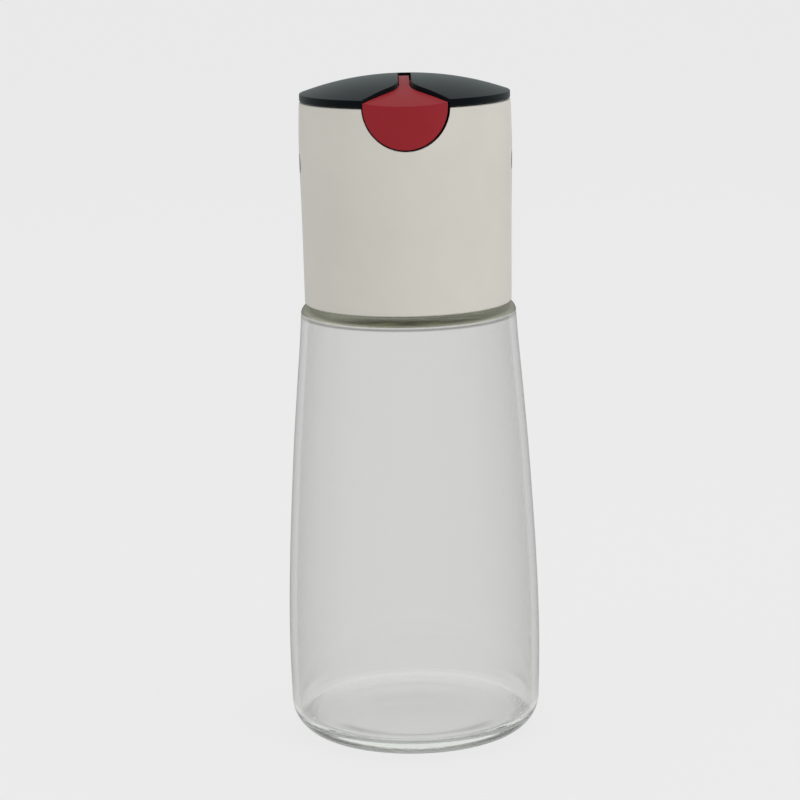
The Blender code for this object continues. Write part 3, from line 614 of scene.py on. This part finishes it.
def fillet(before, corner, after, radius):
    before, corner, after = Vector(before), Vector(corner), Vector(after)
    back, ahead = (before - corner).normalized(), (after - corner).normalized()
    half = back.angle(ahead) / 2.0
    reach = radius / tan(half)
    centre = corner + (back + ahead).normalized() * (radius / sin(half))
    start, end = corner + back * reach - centre, corner + ahead * reach - centre
    side = 1.0 if start.cross(end) > 0.0 else -1.0
    rise = degrees(atan2(start.y, start.x))
    return arc(tuple(centre), radius, rise, rise + side * degrees(start.angle(end)), 14)


def flap_plan(gap, front, back):
    """The flap from above: full width in front, straight flanks and a narrow neck."""
    flap, cap = values("flap"), values("cap")
    wide = flap.half_width
    corner_y = -sqrt(cap.top_radius**2 - wide**2)
    neck = flap.neck_half_width
    if gap > 0.0:
        neck += cap.neck_gap - gap
    right = [(wide, front), (wide, corner_y), (neck, -flap.neck_start), (neck, back)]
    grown = moved_out(right + [(-x, y) for x, y in reversed(right)], gap)
    rounded = [fillet(*grown[i : i + 3], flap.neck_fillet) for i in (1, 4)]
    return grown[:2] + rounded[0] + grown[3:5] + rounded[1] + grown[6:]


def flap_front(gap):
    """The flap from the front: a half disc that hangs from the rim."""
    flap = values("flap")
    radius = flap.half_width + gap
    points = arc((0.0, RIM + flap.disc_rise), radius, -180, 0, 72)
    return points + [(radius, APEX + OVERRUN), (-radius, APEX + OVERRUN)]


def window_height():
    above = 1.6 * MM
    return high("latch_tongue_left").z - above - values("cap").window_half_height


def oval(gap=0.0):
    """A side window's outline, or that of the button inside it, which leaves a gap."""
    cap, z = values("cap"), window_height()
    half_length, half_height = cap.window_half_length - gap, cap.window_half_height - gap
    straight = half_length - half_height
    return arc((straight, z), half_height, -90, 90, 20) + arc((-straight, z), half_height, 90, 270, 20)


# Pieces


def bottle_profile():
    """The glass from the floor's middle, up inside, over the lip, and down the outside."""
    s = values("bottle")
    # Shares of the body's height, and of the step from the shoulder's radius to the widest one.
    heights = (0.195, 0.315, 0.4385, 0.562, 0.683, 0.808, 0.907)
    spreads = (1.0, 0.965, 0.855, 0.70, 0.525, 0.30, 0.11)
    step = s.widest_radius - s.shoulder_radius
    flank = [(s.shoulder_radius + step * r, s.body_height * z) for z, r in zip(heights, spreads)]
    shoulder_foot = (s.shoulder_radius, s.body_height - s.shoulder_round)
    outer = flowing([(s.foot_radius, s.heel_radius)] + flank + [shoulder_foot], 10)
    outer = [(min(r, s.widest_radius), z) for r, z in outer]
    inner_foot = s.foot_radius - s.wall
    shoulder_in = s.body_height - s.shoulder_wall
    inner_wall, round_in = s.shoulder_radius - s.wall, s.inner_shoulder
    inner_steps = [(inner_foot, s.floor + s.inner_heel)] + [(r - s.wall, z) for r, z in flank]
    inner_steps += [(inner_wall, shoulder_in - round_in)]
    crown, cove, cove_rise, lip, small = mm(0.35, 2.6, 1.0, 1.1, 0.4)
    inside = [(0.0, s.floor + crown)]
    flat = inner_foot - s.inner_heel
    inside += [(flat * i / 6, s.floor + crown * cos(pi * i / 12) ** 2) for i in range(1, 6)]
    inside += arc((flat, s.floor + s.inner_heel), s.inner_heel, -90, 0, 16)[:-1]
    inside += flowing(inner_steps, 10)
    inside += arc((inner_wall - round_in, shoulder_in - round_in), round_in, 8, 90, 8)
    inside += arc((s.bore_radius + cove, s.body_height + cove_rise), cove, 262, 180, 6)
    inside += arc((s.bore_radius + lip, LIP_TOP - lip), lip, 180, 90, 6)
    inside += arc((s.finish_radius - lip, LIP_TOP - lip), lip, 90, 0, 6)
    ring_top = s.body_height + s.ring_height
    inside += arc((s.finish_radius + small, ring_top + small), small, 180, 270, 5)
    inside += arc((s.ring_radius - small, ring_top - small), small, 90, 0, 5)
    inside += arc((s.ring_radius + small, s.body_height + small), small, 180, 270, 5)
    bend = (s.shoulder_radius - s.shoulder_round, s.body_height - s.shoulder_round)
    shoulder = arc(bend, s.shoulder_round, 90, 4, 12)
    heel = arc((s.foot_radius - s.heel_radius, s.heel_radius), s.heel_radius, -3, -90, 22)
    foot = [(s.bearing_radius, 0.0)]
    for i in range(1, 13):
        t = i / 12
        foot.append((s.bearing_radius * (1.0 - t), s.punt_depth * sin(t * pi / 2) ** 1.5))
    return inside + shoulder + list(reversed(outer)) + heel + foot


def glass_thread():
    """The raised screw thread of the neck, wound as one ridge that fades in and out."""
    s = values("bottle")
    turns = 1.25
    count = round(values("stage").lathe_steps * turns)
    fade = 0.08
    root_width, tip_width, sink = mm(2.4, 1.2, 0.4)
    above_ring = 3.6 * MM
    start = s.body_height + s.ring_height + above_ring
    work = bmesh.new()
    rows = []
    for i in range(count + 1):
        t = i / count
        grow = min(1.0, t / fade, (1.0 - t) / fade)
        tip = s.finish_radius + s.thread_height * max(0.02, sin(grow * pi / 2))
        turn = TURN * turns * t
        middle = start + s.thread_pitch * turns * t
        upper = [(s.finish_radius - sink, root_width / 2), (tip, tip_width / 2)]
        profile = [(r, middle + z) for r, z in upper] + [(r, middle - z) for r, z in reversed(upper)]
        rows.append([work.verts.new((r * cos(turn), r * sin(turn), z)) for r, z in profile])
    bridge(work, rows)
    work.faces.new(rows[0])
    work.faces.new(list(reversed(rows[-1])))
    return new_piece("glass_thread", work)


def dress(names, finish):
    """Gives CAD nodes that keep their shape a finish."""
    for name in names:
        node = frame["nodes"][name]
        if not node.material_slots:
            node.data.materials.append(finish)
        for slot in node.material_slots:
            slot.material = finish


def settle(piece, body, slot, *nodes):
    """Puts a finished piece on its body and hides the nodes that it stands for. The slot is not used."""
    if nodes:
        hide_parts(*nodes)
    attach(piece, body)


class CRUET_OT_bottle(Operator):
    """Blow the glass bottle with its threaded neck"""

    bl_idname = "cruet.bottle"
    bl_label = "Glass bottle"

    def execute(self, context):
        bottle = turned("bottle_glass", bottle_profile(), made_of("soda_lime_glass_blown"))
        combine(bottle, glass_thread(), "UNION")
        bottle.data.shade_smooth()
        bottle.data.set_sharp_from_angle(angle=radians(50.0))
        settle(bottle, "bottle", "clear_glass", "glass_bottle")
        return {"FINISHED"}


class CRUET_OT_collar(Operator):
    """Mould the white collar with the flap's notch and the two side windows"""

    bl_idname = "cruet.collar"
    bl_label = "Collar"

    def execute(self, context):
        cap = values("cap")
        inner_foot, inner_top = cap.foot_radius - cap.wall, cap.top_radius - cap.wall
        round_top, round_foot = mm(0.45, 0.5)
        ledge, depth, thick = DECK_TOP + RUNNING_GAP, 0.75 * MM, 1.6 * MM
        profile = arc((cap.top_radius - round_top, RIM - round_top), round_top, 90, 4, 5)
        profile += [(r, z) for r, z in collar_skin() if COLLAR_FOOT + round_foot < z < RIM - round_top]
        profile += arc((cap.foot_radius - round_foot, COLLAR_FOOT + round_foot), round_foot, 0, -90, 5)
        profile += [
            (inner_foot, COLLAR_FOOT),
            (inner_foot, ledge),
            (inner_foot - depth, ledge),
            (inner_foot - depth, ledge + thick),
            (inner_foot, ledge + thick + depth),
            (inner_top, window_height()),
            (inner_top, RIM),
        ]
        collar = turned("collar_sleeve", profile, made_of("abs_warm_white_moulded"), ring=True)
        reach = cap.widest_radius + OVERRUN
        combine(collar, prism("notch", flap_front(cap.flap_gap), -reach, -OVERRUN, "Y"), "DIFFERENCE")
        combine(collar, prism("windows", oval(), -reach, reach, "X"), "DIFFERENCE")
        soften(collar, cap.edge)
        settle(collar, "cap", "warm_white_abs", "cap_collar")
        return {"FINISHED"}


class CRUET_OT_cover(Operator):
    """Mould the dark domed cover with its band, spigot, hinge lugs and the flap's slot"""

    bl_idname = "cruet.cover"
    bl_label = "Top cover"

    def execute(self, context):
        cap = values("cap")
        edge, band_round, rings = 0.35 * MM, 0.4 * MM, 20
        skin, spigot_wall, spigot_depth = mm(1.6, 1.5, 6.0)
        outer_r = cap.cover_radius
        dome = [(0.0, APEX)]
        for i in range(1, rings + 1):
            r = (outer_r - edge) * sin(i / rings * pi / 2)
            dome.append((r, dome_height(r)))
        shoulder = arc((outer_r - edge, dome_height(outer_r - edge) - edge), edge, 75, 0, 4)
        foot = arc((outer_r - band_round, BAND_LOW + band_round), band_round, 0, -90, 4)
        spigot_r = cap.top_radius - cap.wall - RUNNING_GAP
        spigot_in = spigot_r - spigot_wall
        spigot_foot = RIM - spigot_depth
        shares = (1.0, 0.9, 0.78, 0.62, 0.45, 0.25)
        under = [(spigot_in * s, dome_height(spigot_in * s, skin)) for s in shares]
        inside = [(spigot_r, BAND_LOW), (spigot_r, spigot_foot), (spigot_in, spigot_foot)]
        profile = dome + shoulder + foot + inside + under + [(0.0, APEX - skin)]
        cover = turned("domed_cover", profile, made_of("abs_charcoal_moulded"))
        lug_thick, lug_half, lug_low, lug_drop = mm(1.8, 2.8, 2.2, 1.3)
        y, z, lug_top = FLAP_HINGE.y, FLAP_HINGE.z, APEX - lug_drop
        outline = [(y - lug_half, lug_top)] + arc((y, z), lug_low, 180, 360, 16) + [(y + lug_half, lug_top)]
        for side in (-1.0, 1.0):
            near = side * (KNUCKLE_HALF + RUNNING_GAP)
            far = side * (KNUCKLE_HALF + RUNNING_GAP + lug_thick)
            combine(cover, prism("lug", outline, min(near, far), max(near, far), "X"), "UNION")
        hole_half = 2.0 * KNUCKLE_HALF
        combine(cover, rod("pin_hole", PIN_HOLE, (-hole_half, y, z), (hole_half, y, z)), "DIFFERENCE")
        plan = flap_plan(cap.flap_gap, -outer_r - OVERRUN, y + swing_radius())
        combine(cover, prism("slot", plan, spigot_foot - OVERRUN, APEX + OVERRUN, "Z"), "DIFFERENCE")
        soften(cover, 0.2 * MM)
        settle(cover, "cap", "charcoal_abs", "top_cover")
        return {"FINISHED"}


def flap_side(thickness=None):
    """The flap from the side. With a thickness it is the space under the top plate."""
    front = -values("cap").cover_radius - OVERRUN
    bottom = RIM - values("flap").half_width - OVERRUN
    web_reach, steps = 4.2 * MM, 36
    web = FLAP_HINGE.y - web_reach
    ys = [web + (front - web) * i / steps for i in range(steps + 1)]
    if thickness:
        under = [(y, flap_height(y) - thickness) for y in ys]
        return [(front, bottom - OVERRUN), (web, bottom - OVERRUN)] + under
    back = [(FLAP_HINGE.y + y, FLAP_HINGE.z + z) for y, z in arc((0.0, 0.0), swing_radius(), 90, -90, 24)]
    top = [(y, flap_height(y)) for y in reversed(ys)]
    under = (web, flap_height(web) - values("flap").wall)
    return [(front, bottom)] + top + back + [under, (web, bottom)]


def spout_mouth():
    """The middle of the spout's mouth, from the last ring of its solid, and the way it faces."""
    near = 0.05 * MM
    highest, foremost = high("pour_spout").z, low("pour_spout").y
    points = [v.co for v in frame["nodes"]["pour_spout"].data.vertices]
    top = next(p for p in points if abs(p.z - highest) < near)
    front = next(p for p in points if abs(p.y - foremost) < near)
    mouth = Vector((0.0, (top.y + front.y) / 2.0, (top.z + front.z) / 2.0))
    low_corner, high_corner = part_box("flap_seal")
    return mouth, ((low_corner + high_corner) / 2.0 - mouth).normalized()


class CRUET_OT_flap(Operator):
    """Mould the red pour flap with its knuckle, weight eye and seal boss, and fit its seal"""

    bl_idname = "cruet.flap"
    bl_label = "Pour flap"

    def execute(self, context):
        cap, size = values("cap"), values("flap")
        y, z = FLAP_HINGE.y, FLAP_HINGE.z
        wide = cap.widest_radius + OVERRUN
        back = y + swing_radius() + OVERRUN
        top = APEX + OVERRUN
        flap = prism("pour_flap_red", flap_front(0.0), -wide, back, "Y", made_of("abs_red_moulded"))
        combine(flap, prism("plan", flap_plan(0.0, -wide, back), RIM - wide, top, "Z"), "INTERSECT")
        combine(flap, prism("side", flap_side(), -wide, wide, "X"), "INTERSECT")
        skin = [(0.0, top), (cap.top_radius, top)] + collar_skin() + [(0.0, COLLAR_FOOT)]
        combine(flap, turned("skin", skin), "INTERSECT")
        core_r = cap.top_radius - size.wall
        core = turned("core", [(0.0, top), (core_r, top), (core_r, RIM - wide), (0.0, RIM - wide)])
        combine(core, prism("under", flap_side(size.wall), -wide, wide, "X"), "INTERSECT")
        mouth, facing = spout_mouth()
        seal_thick, seal_radius, boss_radius = mm(1.5, 5.2, 4.6)
        boss_start = mouth + facing * (2.0 * RUNNING_GAP + seal_thick)
        combine(core, rod("boss", boss_radius, boss_start, mouth + facing * wide), "DIFFERENCE")
        combine(flap, core, "DIFFERENCE")
        half, knuckle, soft_rim = KNUCKLE_HALF, 2.3 * MM, 0.2 * MM
        combine(flap, rod("knuckle", knuckle, (-half, y, z), (half, y, z), edge=soft_rim), "UNION")
        drop, arm, arm_thick, eye, weight_hole = mm(8.6, 2.2, 1.6, 3.9, 2.7)
        low_z = z - drop
        web = [(y - arm_thick, low_z), (y + arm_thick, low_z), (y + arm_thick, z), (y - arm_thick, z)]
        combine(flap, prism("arm", web, -arm, arm, "X"), "UNION")
        combine(flap, rod("eye", eye, (-arm, y, low_z), (arm, y, low_z), edge=soft_rim), "UNION")
        for radius, height in ((PIN_HOLE, z), (weight_hole, low_z)):
            combine(flap, rod("hole", radius, (-wide, y, height), (wide, y, height)), "DIFFERENCE")
        soften(flap, size.edge)
        flap.data.transform(Matrix.Translation((-size.side_play, 0.0, 0.0)))
        settle(flap, "flap", "red_abs", "pour_flap")
        near, far = mouth + facing * RUNNING_GAP, mouth + facing * (RUNNING_GAP + seal_thick)
        seal = rod("seal_pad", seal_radius, near, far, made_of("silicone_moulded"), 96, RUNNING_GAP)
        settle(seal, "flap", "grey_silicone", "flap_seal")
        return {"FINISHED"}


class CRUET_OT_catches(Operator):
    """Mould the two side catches, whose oval buttons fill the collar's windows"""

    bl_idname = "cruet.catches"
    bl_label = "Side catches"

    def execute(self, context):
        cap = values("cap")
        half, corner, air, thick = mm(5.0, 2.0, 1.75, 1.3)
        outer_x = cap.foot_radius - cap.wall - air
        inner_x = outer_x - thick
        for word, side in (("left", -1.0), ("right", 1.0)):
            node = "latch_tongue_" + word
            foot, top = low(node).z, high(node).z
            outline = [(-half, foot), (half, foot)] + arc((half - corner, top - corner), corner, 0, 90, 8)
            outline += arc((-half + corner, top - corner), corner, 90, 180, 8)
            near, far = sorted((side * inner_x, side * outer_x))
            tongue = prism("catch_" + word, outline, near, far, "X", made_of("abs_grey_moulded"))
            root_x = side * (inner_x + outer_x) / 2.0
            near, far = sorted((root_x, side * (cap.widest_radius + OVERRUN)))
            button = prism("button", oval(cap.window_gap), near, far, "X")
            combine(button, turned("skin", [(0.0, RIM)] + collar_skin() + [(0.0, COLLAR_FOOT)]), "INTERSECT")
            combine(tongue, button, "UNION")
            soften(tongue, 0.3 * MM)
            settle(tongue, "catch_" + word, "grey_abs", node)
        return {"FINISHED"}


def spout_line():
    """Centres and directions along the spout, from its inlet, round the bend, to its mouth."""
    mouth, facing = spout_mouth()
    inlet = low("pour_spout").z
    back = (low("spout_gasket").y + high("spout_gasket").y) / 2.0
    riser, tightness = 6.0 * MM, 0.93
    riser_top = DECK_TOP + riser
    bend_radius = tightness * (mouth.z - riser_top)
    centre = (back - bend_radius, riser_top)
    tilt = degrees(atan2(facing.z, -facing.y))
    line = []
    for i in range(9):
        line.append((Vector((0.0, back, inlet + (riser_top - inlet) * i / 9)), Vector((0.0, 0.0, 1.0))))
    for i in range(25):
        a = radians((90.0 - tilt) * i / 24)
        place = Vector((0.0, centre[0] + bend_radius * cos(a), centre[1] + bend_radius * sin(a)))
        line.append((place, Vector((0.0, -sin(a), cos(a)))))
    line.append((mouth, facing))
    return line


class CRUET_OT_spout(Operator):
    """Mould the bent pour spout with its flange"""

    bl_idname = "cruet.spout"
    bl_label = "Pour spout"

    def execute(self, context):
        line = spout_line()
        outer, bore, flange, thick = mm(5.5, 4.0, 8.5, 1.6)
        soft, lip, clear = mm(0.2, 0.5, 0.4)
        start, mouth, facing = line[0][0], *line[-1]
        up = Vector((0.0, 0.0, 1.0))
        at = Vector((0.0, start.y, high("spout_gasket").z + RUNNING_GAP))
        stations = [(start, up, bore), (start, up, outer)]
        rim = ((0.0, outer), (0.0, flange - soft), (soft, flange))
        rim += ((thick - soft, flange), (thick, flange - soft), (thick, outer))
        stations += [(at + up * rise, up, radius) for rise, radius in rim]
        stations += [(c, d, outer) for c, d in line if c.z > at.z + thick + clear][:-1]
        for angles, radius, way in (((0, 30, 60, 90), outer, -1.0), ((60, 30, 0), bore, 1.0)):
            for a in angles:
                t = radians(a)
                centre = mouth - facing * lip * (1 - sin(t))
                stations.append((centre, facing, radius + way * lip * (1 - cos(t))))
        stations += [(c, d, bore) for c, d in reversed(line[1:-1])]
        spout = swept("pour_spout_black", stations, made_of("polypropylene_black_moulded"), 96)
        spout.data.set_sharp_from_angle(angle=radians(40.0))
        settle(spout, "cap", "black_pp", "pour_spout")
        return {"FINISHED"}


class CRUET_OT_inner_parts(Operator):
    """Give the hidden pieces that keep their solid's shape their finishes"""

    bl_idname = "cruet.inner_parts"
    bl_label = "Inner parts"

    def execute(self, context):
        dress(("screw_insert",), made_of("polypropylene_natural_moulded"))
        dress(("vent_tube",), made_of("polypropylene_black_moulded"))
        dress(("neck_gasket", "spout_gasket", "vent_gasket"), made_of("silicone_moulded"))
        dress(("flap_hinge_pin", "flap_counterweight"), made_of("stainless_steel_turned"))
        return {"FINISHED"}


# The studio


def share_shown(tree, mirrored):
    """How much of the backdrop's colour a ray sees: all of it straight or through glass, and the
    given share in a reflection, as a dark room round a lit table gives. Also 1 for any such ray."""
    path = add(tree, "ShaderNodeLightPath").outputs
    direct = {0: path["Is Camera Ray"], 1: path["Is Transmission Ray"]}
    plain = add(tree, MATH, direct, operation="MAXIMUM")
    glossy = path["Is Glossy Ray"]
    dimmed = add(tree, MATH, {0: glossy, 1: mirrored}, operation="MULTIPLY")
    return [add(tree, MATH, {0: plain, 1: v}, operation="MAXIMUM") for v in (dimmed, glossy)]


def studio_floor():
    """A wide pale floor. The camera sees mostly its plain colour, over a part that takes the shadow."""
    settings = values("stage")
    backdrop = opaque(settings.backdrop)
    fibre_size, near_full, near_end, floor_half = 4.0 * MM, 45.0 * MM, 90.0 * MM, 9.0
    work = bmesh.new()
    bmesh.ops.create_grid(work, x_segments=8, y_segments=8, size=floor_half)
    bmesh.ops.translate(work, verts=work.verts, vec=(0.0, 0.0, -settings.floor_gap))
    finish, tree, shader, place = new_finish("studio_paper_matte")
    # Matte paper: one even tone, with a fibre mottle far below what the eye picks out.
    fibre = add(tree, NOISE, {"Vector": place, "Scale": 1.0 / fibre_size, "Detail": 2.0})
    mottle = {"Fac": fibre, "Color1": opaque(settings.backdrop, 0.99), "Color2": backdrop}
    plug(tree, shader, {"Base Color": add(tree, BLEND, mottle)})
    plug(tree, shader, {"Roughness": 1.0, "Specular IOR Level": 0.0})
    # Reflections meet lit paper round and behind the bottle, and less of it on the camera's side.
    away = add(tree, "ShaderNodeVectorMath", {0: place}, operation="LENGTH").outputs["Value"]
    close = {"Value": away, "From Min": near_end, "From Max": near_full, "To Max": settings.floor_near}
    back = {
        "Value": add(tree, "ShaderNodeSeparateXYZ", {"Vector": place}).outputs["Y"],
        "From Min": -settings.lit_depth,
        "From Max": 0.0,
        "To Min": settings.floor_mirrored,
        "To Max": settings.floor_lit,
    }
    shares = {0: add(tree, SPAN, back), 1: add(tree, SPAN, close)}
    strength, seen = share_shown(tree, add(tree, MATH, shares, operation="MAXIMUM"))
    glow = add(tree, "ShaderNodeEmission", {"Color": backdrop, "Strength": strength})
    share = add(tree, MATH, {0: seen, 1: settings.floor_plain}, operation="MULTIPLY")
    mixed = add(tree, "ShaderNodeMixShader", {0: share, 1: shader, 2: glow})
    plug(tree, tree.nodes["Material Output"], {"Surface": mixed})
    new_piece("studio_floor", work, finish)


def studio_world():
    """Air in the backdrop's colour, darker to reflections on the camera's side, that also gives light."""
    settings = values("stage")
    backdrop, blend_half = opaque(settings.backdrop), 0.3
    world = bpy.data.worlds.new("studio_air")
    world.use_nodes = True
    tree = world.node_tree
    tree.nodes.clear()
    way = add(tree, "ShaderNodeTexCoord").outputs["Generated"]
    side = {
        "Value": add(tree, "ShaderNodeSeparateXYZ", {"Vector": way}).outputs["Y"],
        "From Min": -blend_half,
        "From Max": blend_half,
        "To Min": settings.room_mirrored,
        "To Max": settings.air_mirrored,
    }
    strength, seen = share_shown(tree, add(tree, SPAN, side))
    shown = add(tree, "ShaderNodeBackground", {"Color": backdrop, "Strength": strength})
    light = add(tree, "ShaderNodeBackground", {"Color": backdrop, "Strength": settings.ambient})
    mixed = add(tree, "ShaderNodeMixShader", {0: seen, 1: light, 2: shown})
    add(tree, "ShaderNodeOutputWorld", {"Surface": mixed})
    bpy.context.scene.world = world


def soft_lamp(name, power, size, place):
    """A lamp that points at the cruet's middle and that no glass or gloss shows."""
    data = bpy.data.lights.new(name, "AREA")
    data.shape = "RECTANGLE"
    data.size, data.size_y = size
    data.energy = power
    lamp = placed(name, data)
    lamp.location = place
    aim = Vector((0.0, 0.0, APEX / 2.0)) - Vector(place)
    lamp.rotation_euler = aim.to_track_quat("-Z", "Y").to_euler()
    lamp.visible_glossy = False
    lamp.visible_transmission = False


class CRUET_OT_stage(Operator):
    """Lay the pale floor, set the soft lamps and place the camera"""

    bl_idname = "cruet.stage"
    bl_label = "Studio"

    def execute(self, context):
        settings = values("stage")
        studio_floor()
        studio_world()
        soft_lamp("key_softbox", settings.key, (0.7, 1.0), (0.95, -0.75, 0.55))
        soft_lamp("fill_softbox", settings.fill, (0.8, 1.0), (-1.1, -0.6, 0.45))
        soft_lamp("top_softbox", settings.top, (1.0, 1.0), (0.1, 0.1, 1.3))
        data = bpy.data.cameras.new("view")
        data.sensor_width = 36.0
        data.lens = settings.focal
        data.clip_start = 10.0 * MM
        camera, scene = placed("view", data), context.scene
        camera.matrix_world = (
            Matrix.Rotation(-settings.swing, 4, "Z")
            @ Matrix.Translation((0.0, -settings.distance, settings.camera_height))
            @ Matrix.Rotation(settings.yaw, 4, "Z")
            @ Matrix.Rotation(pi / 2.0 - settings.pitch, 4, "X")
            @ Matrix.Rotation(-settings.roll, 4, "Z")
        )
        scene.camera = camera
        scene.view_settings.view_transform = "Standard"
        # Light turns many times inside the thick base before it leaves.
        scene.cycles.max_bounces = 32
        scene.cycles.glossy_bounces = 16
        scene.cycles.transmission_bounces = 32
        return {"FINISHED"}


class CRUET_PT_panel(Panel):
    bl_label = "Oil cruet"
    bl_idname = "CRUET_PT_panel"
    bl_space_type = "VIEW_3D"
    bl_region_type = "UI"
    bl_category = "Oil cruet"

    def draw(self, context):
        for step in STEPS:
            self.layout.operator(step.bl_idname)
        for holder in GROUPS:
            box = self.layout.box()
            group = getattr(context.scene, holder)
            for name in group.__annotations__:
                box.prop(group, name)


STEPS = (
    CRUET_OT_stage,
    CRUET_OT_bottle,
    CRUET_OT_collar,
    CRUET_OT_cover,
    CRUET_OT_flap,
    CRUET_OT_catches,
    CRUET_OT_spout,
    CRUET_OT_inner_parts,
)
GROUPS = {
    "cruet_bottle": CruetBottleSizes,
    "cruet_cap": CruetCapSizes,
    "cruet_flap": CruetFlapSizes,
    "cruet_colours": CruetColours,
    "cruet_stage": CruetStageSettings,
}


def register():
    for holder, group in GROUPS.items():
        bpy.utils.register_class(group)
        setattr(bpy.types.Scene, holder, PointerProperty(type=group))
    for step in STEPS + (CRUET_PT_panel,):
        bpy.utils.register_class(step)


def unregister():
    for step in reversed(STEPS + (CRUET_PT_panel,)):
        bpy.utils.unregister_class(step)
    for holder, group in GROUPS.items():
        delattr(bpy.types.Scene, holder)
        bpy.utils.unregister_class(group)


def main():
    register()
    bpy.ops.cruet.stage()
    bpy.ops.cruet.bottle()
    bpy.ops.cruet.collar()
    bpy.ops.cruet.cover()
    bpy.ops.cruet.flap()
    bpy.ops.cruet.catches()
    bpy.ops.cruet.spout()
    bpy.ops.cruet.inner_parts()
    bpy.context.view_layer.update()


if __name__ == "__main__":
    main()
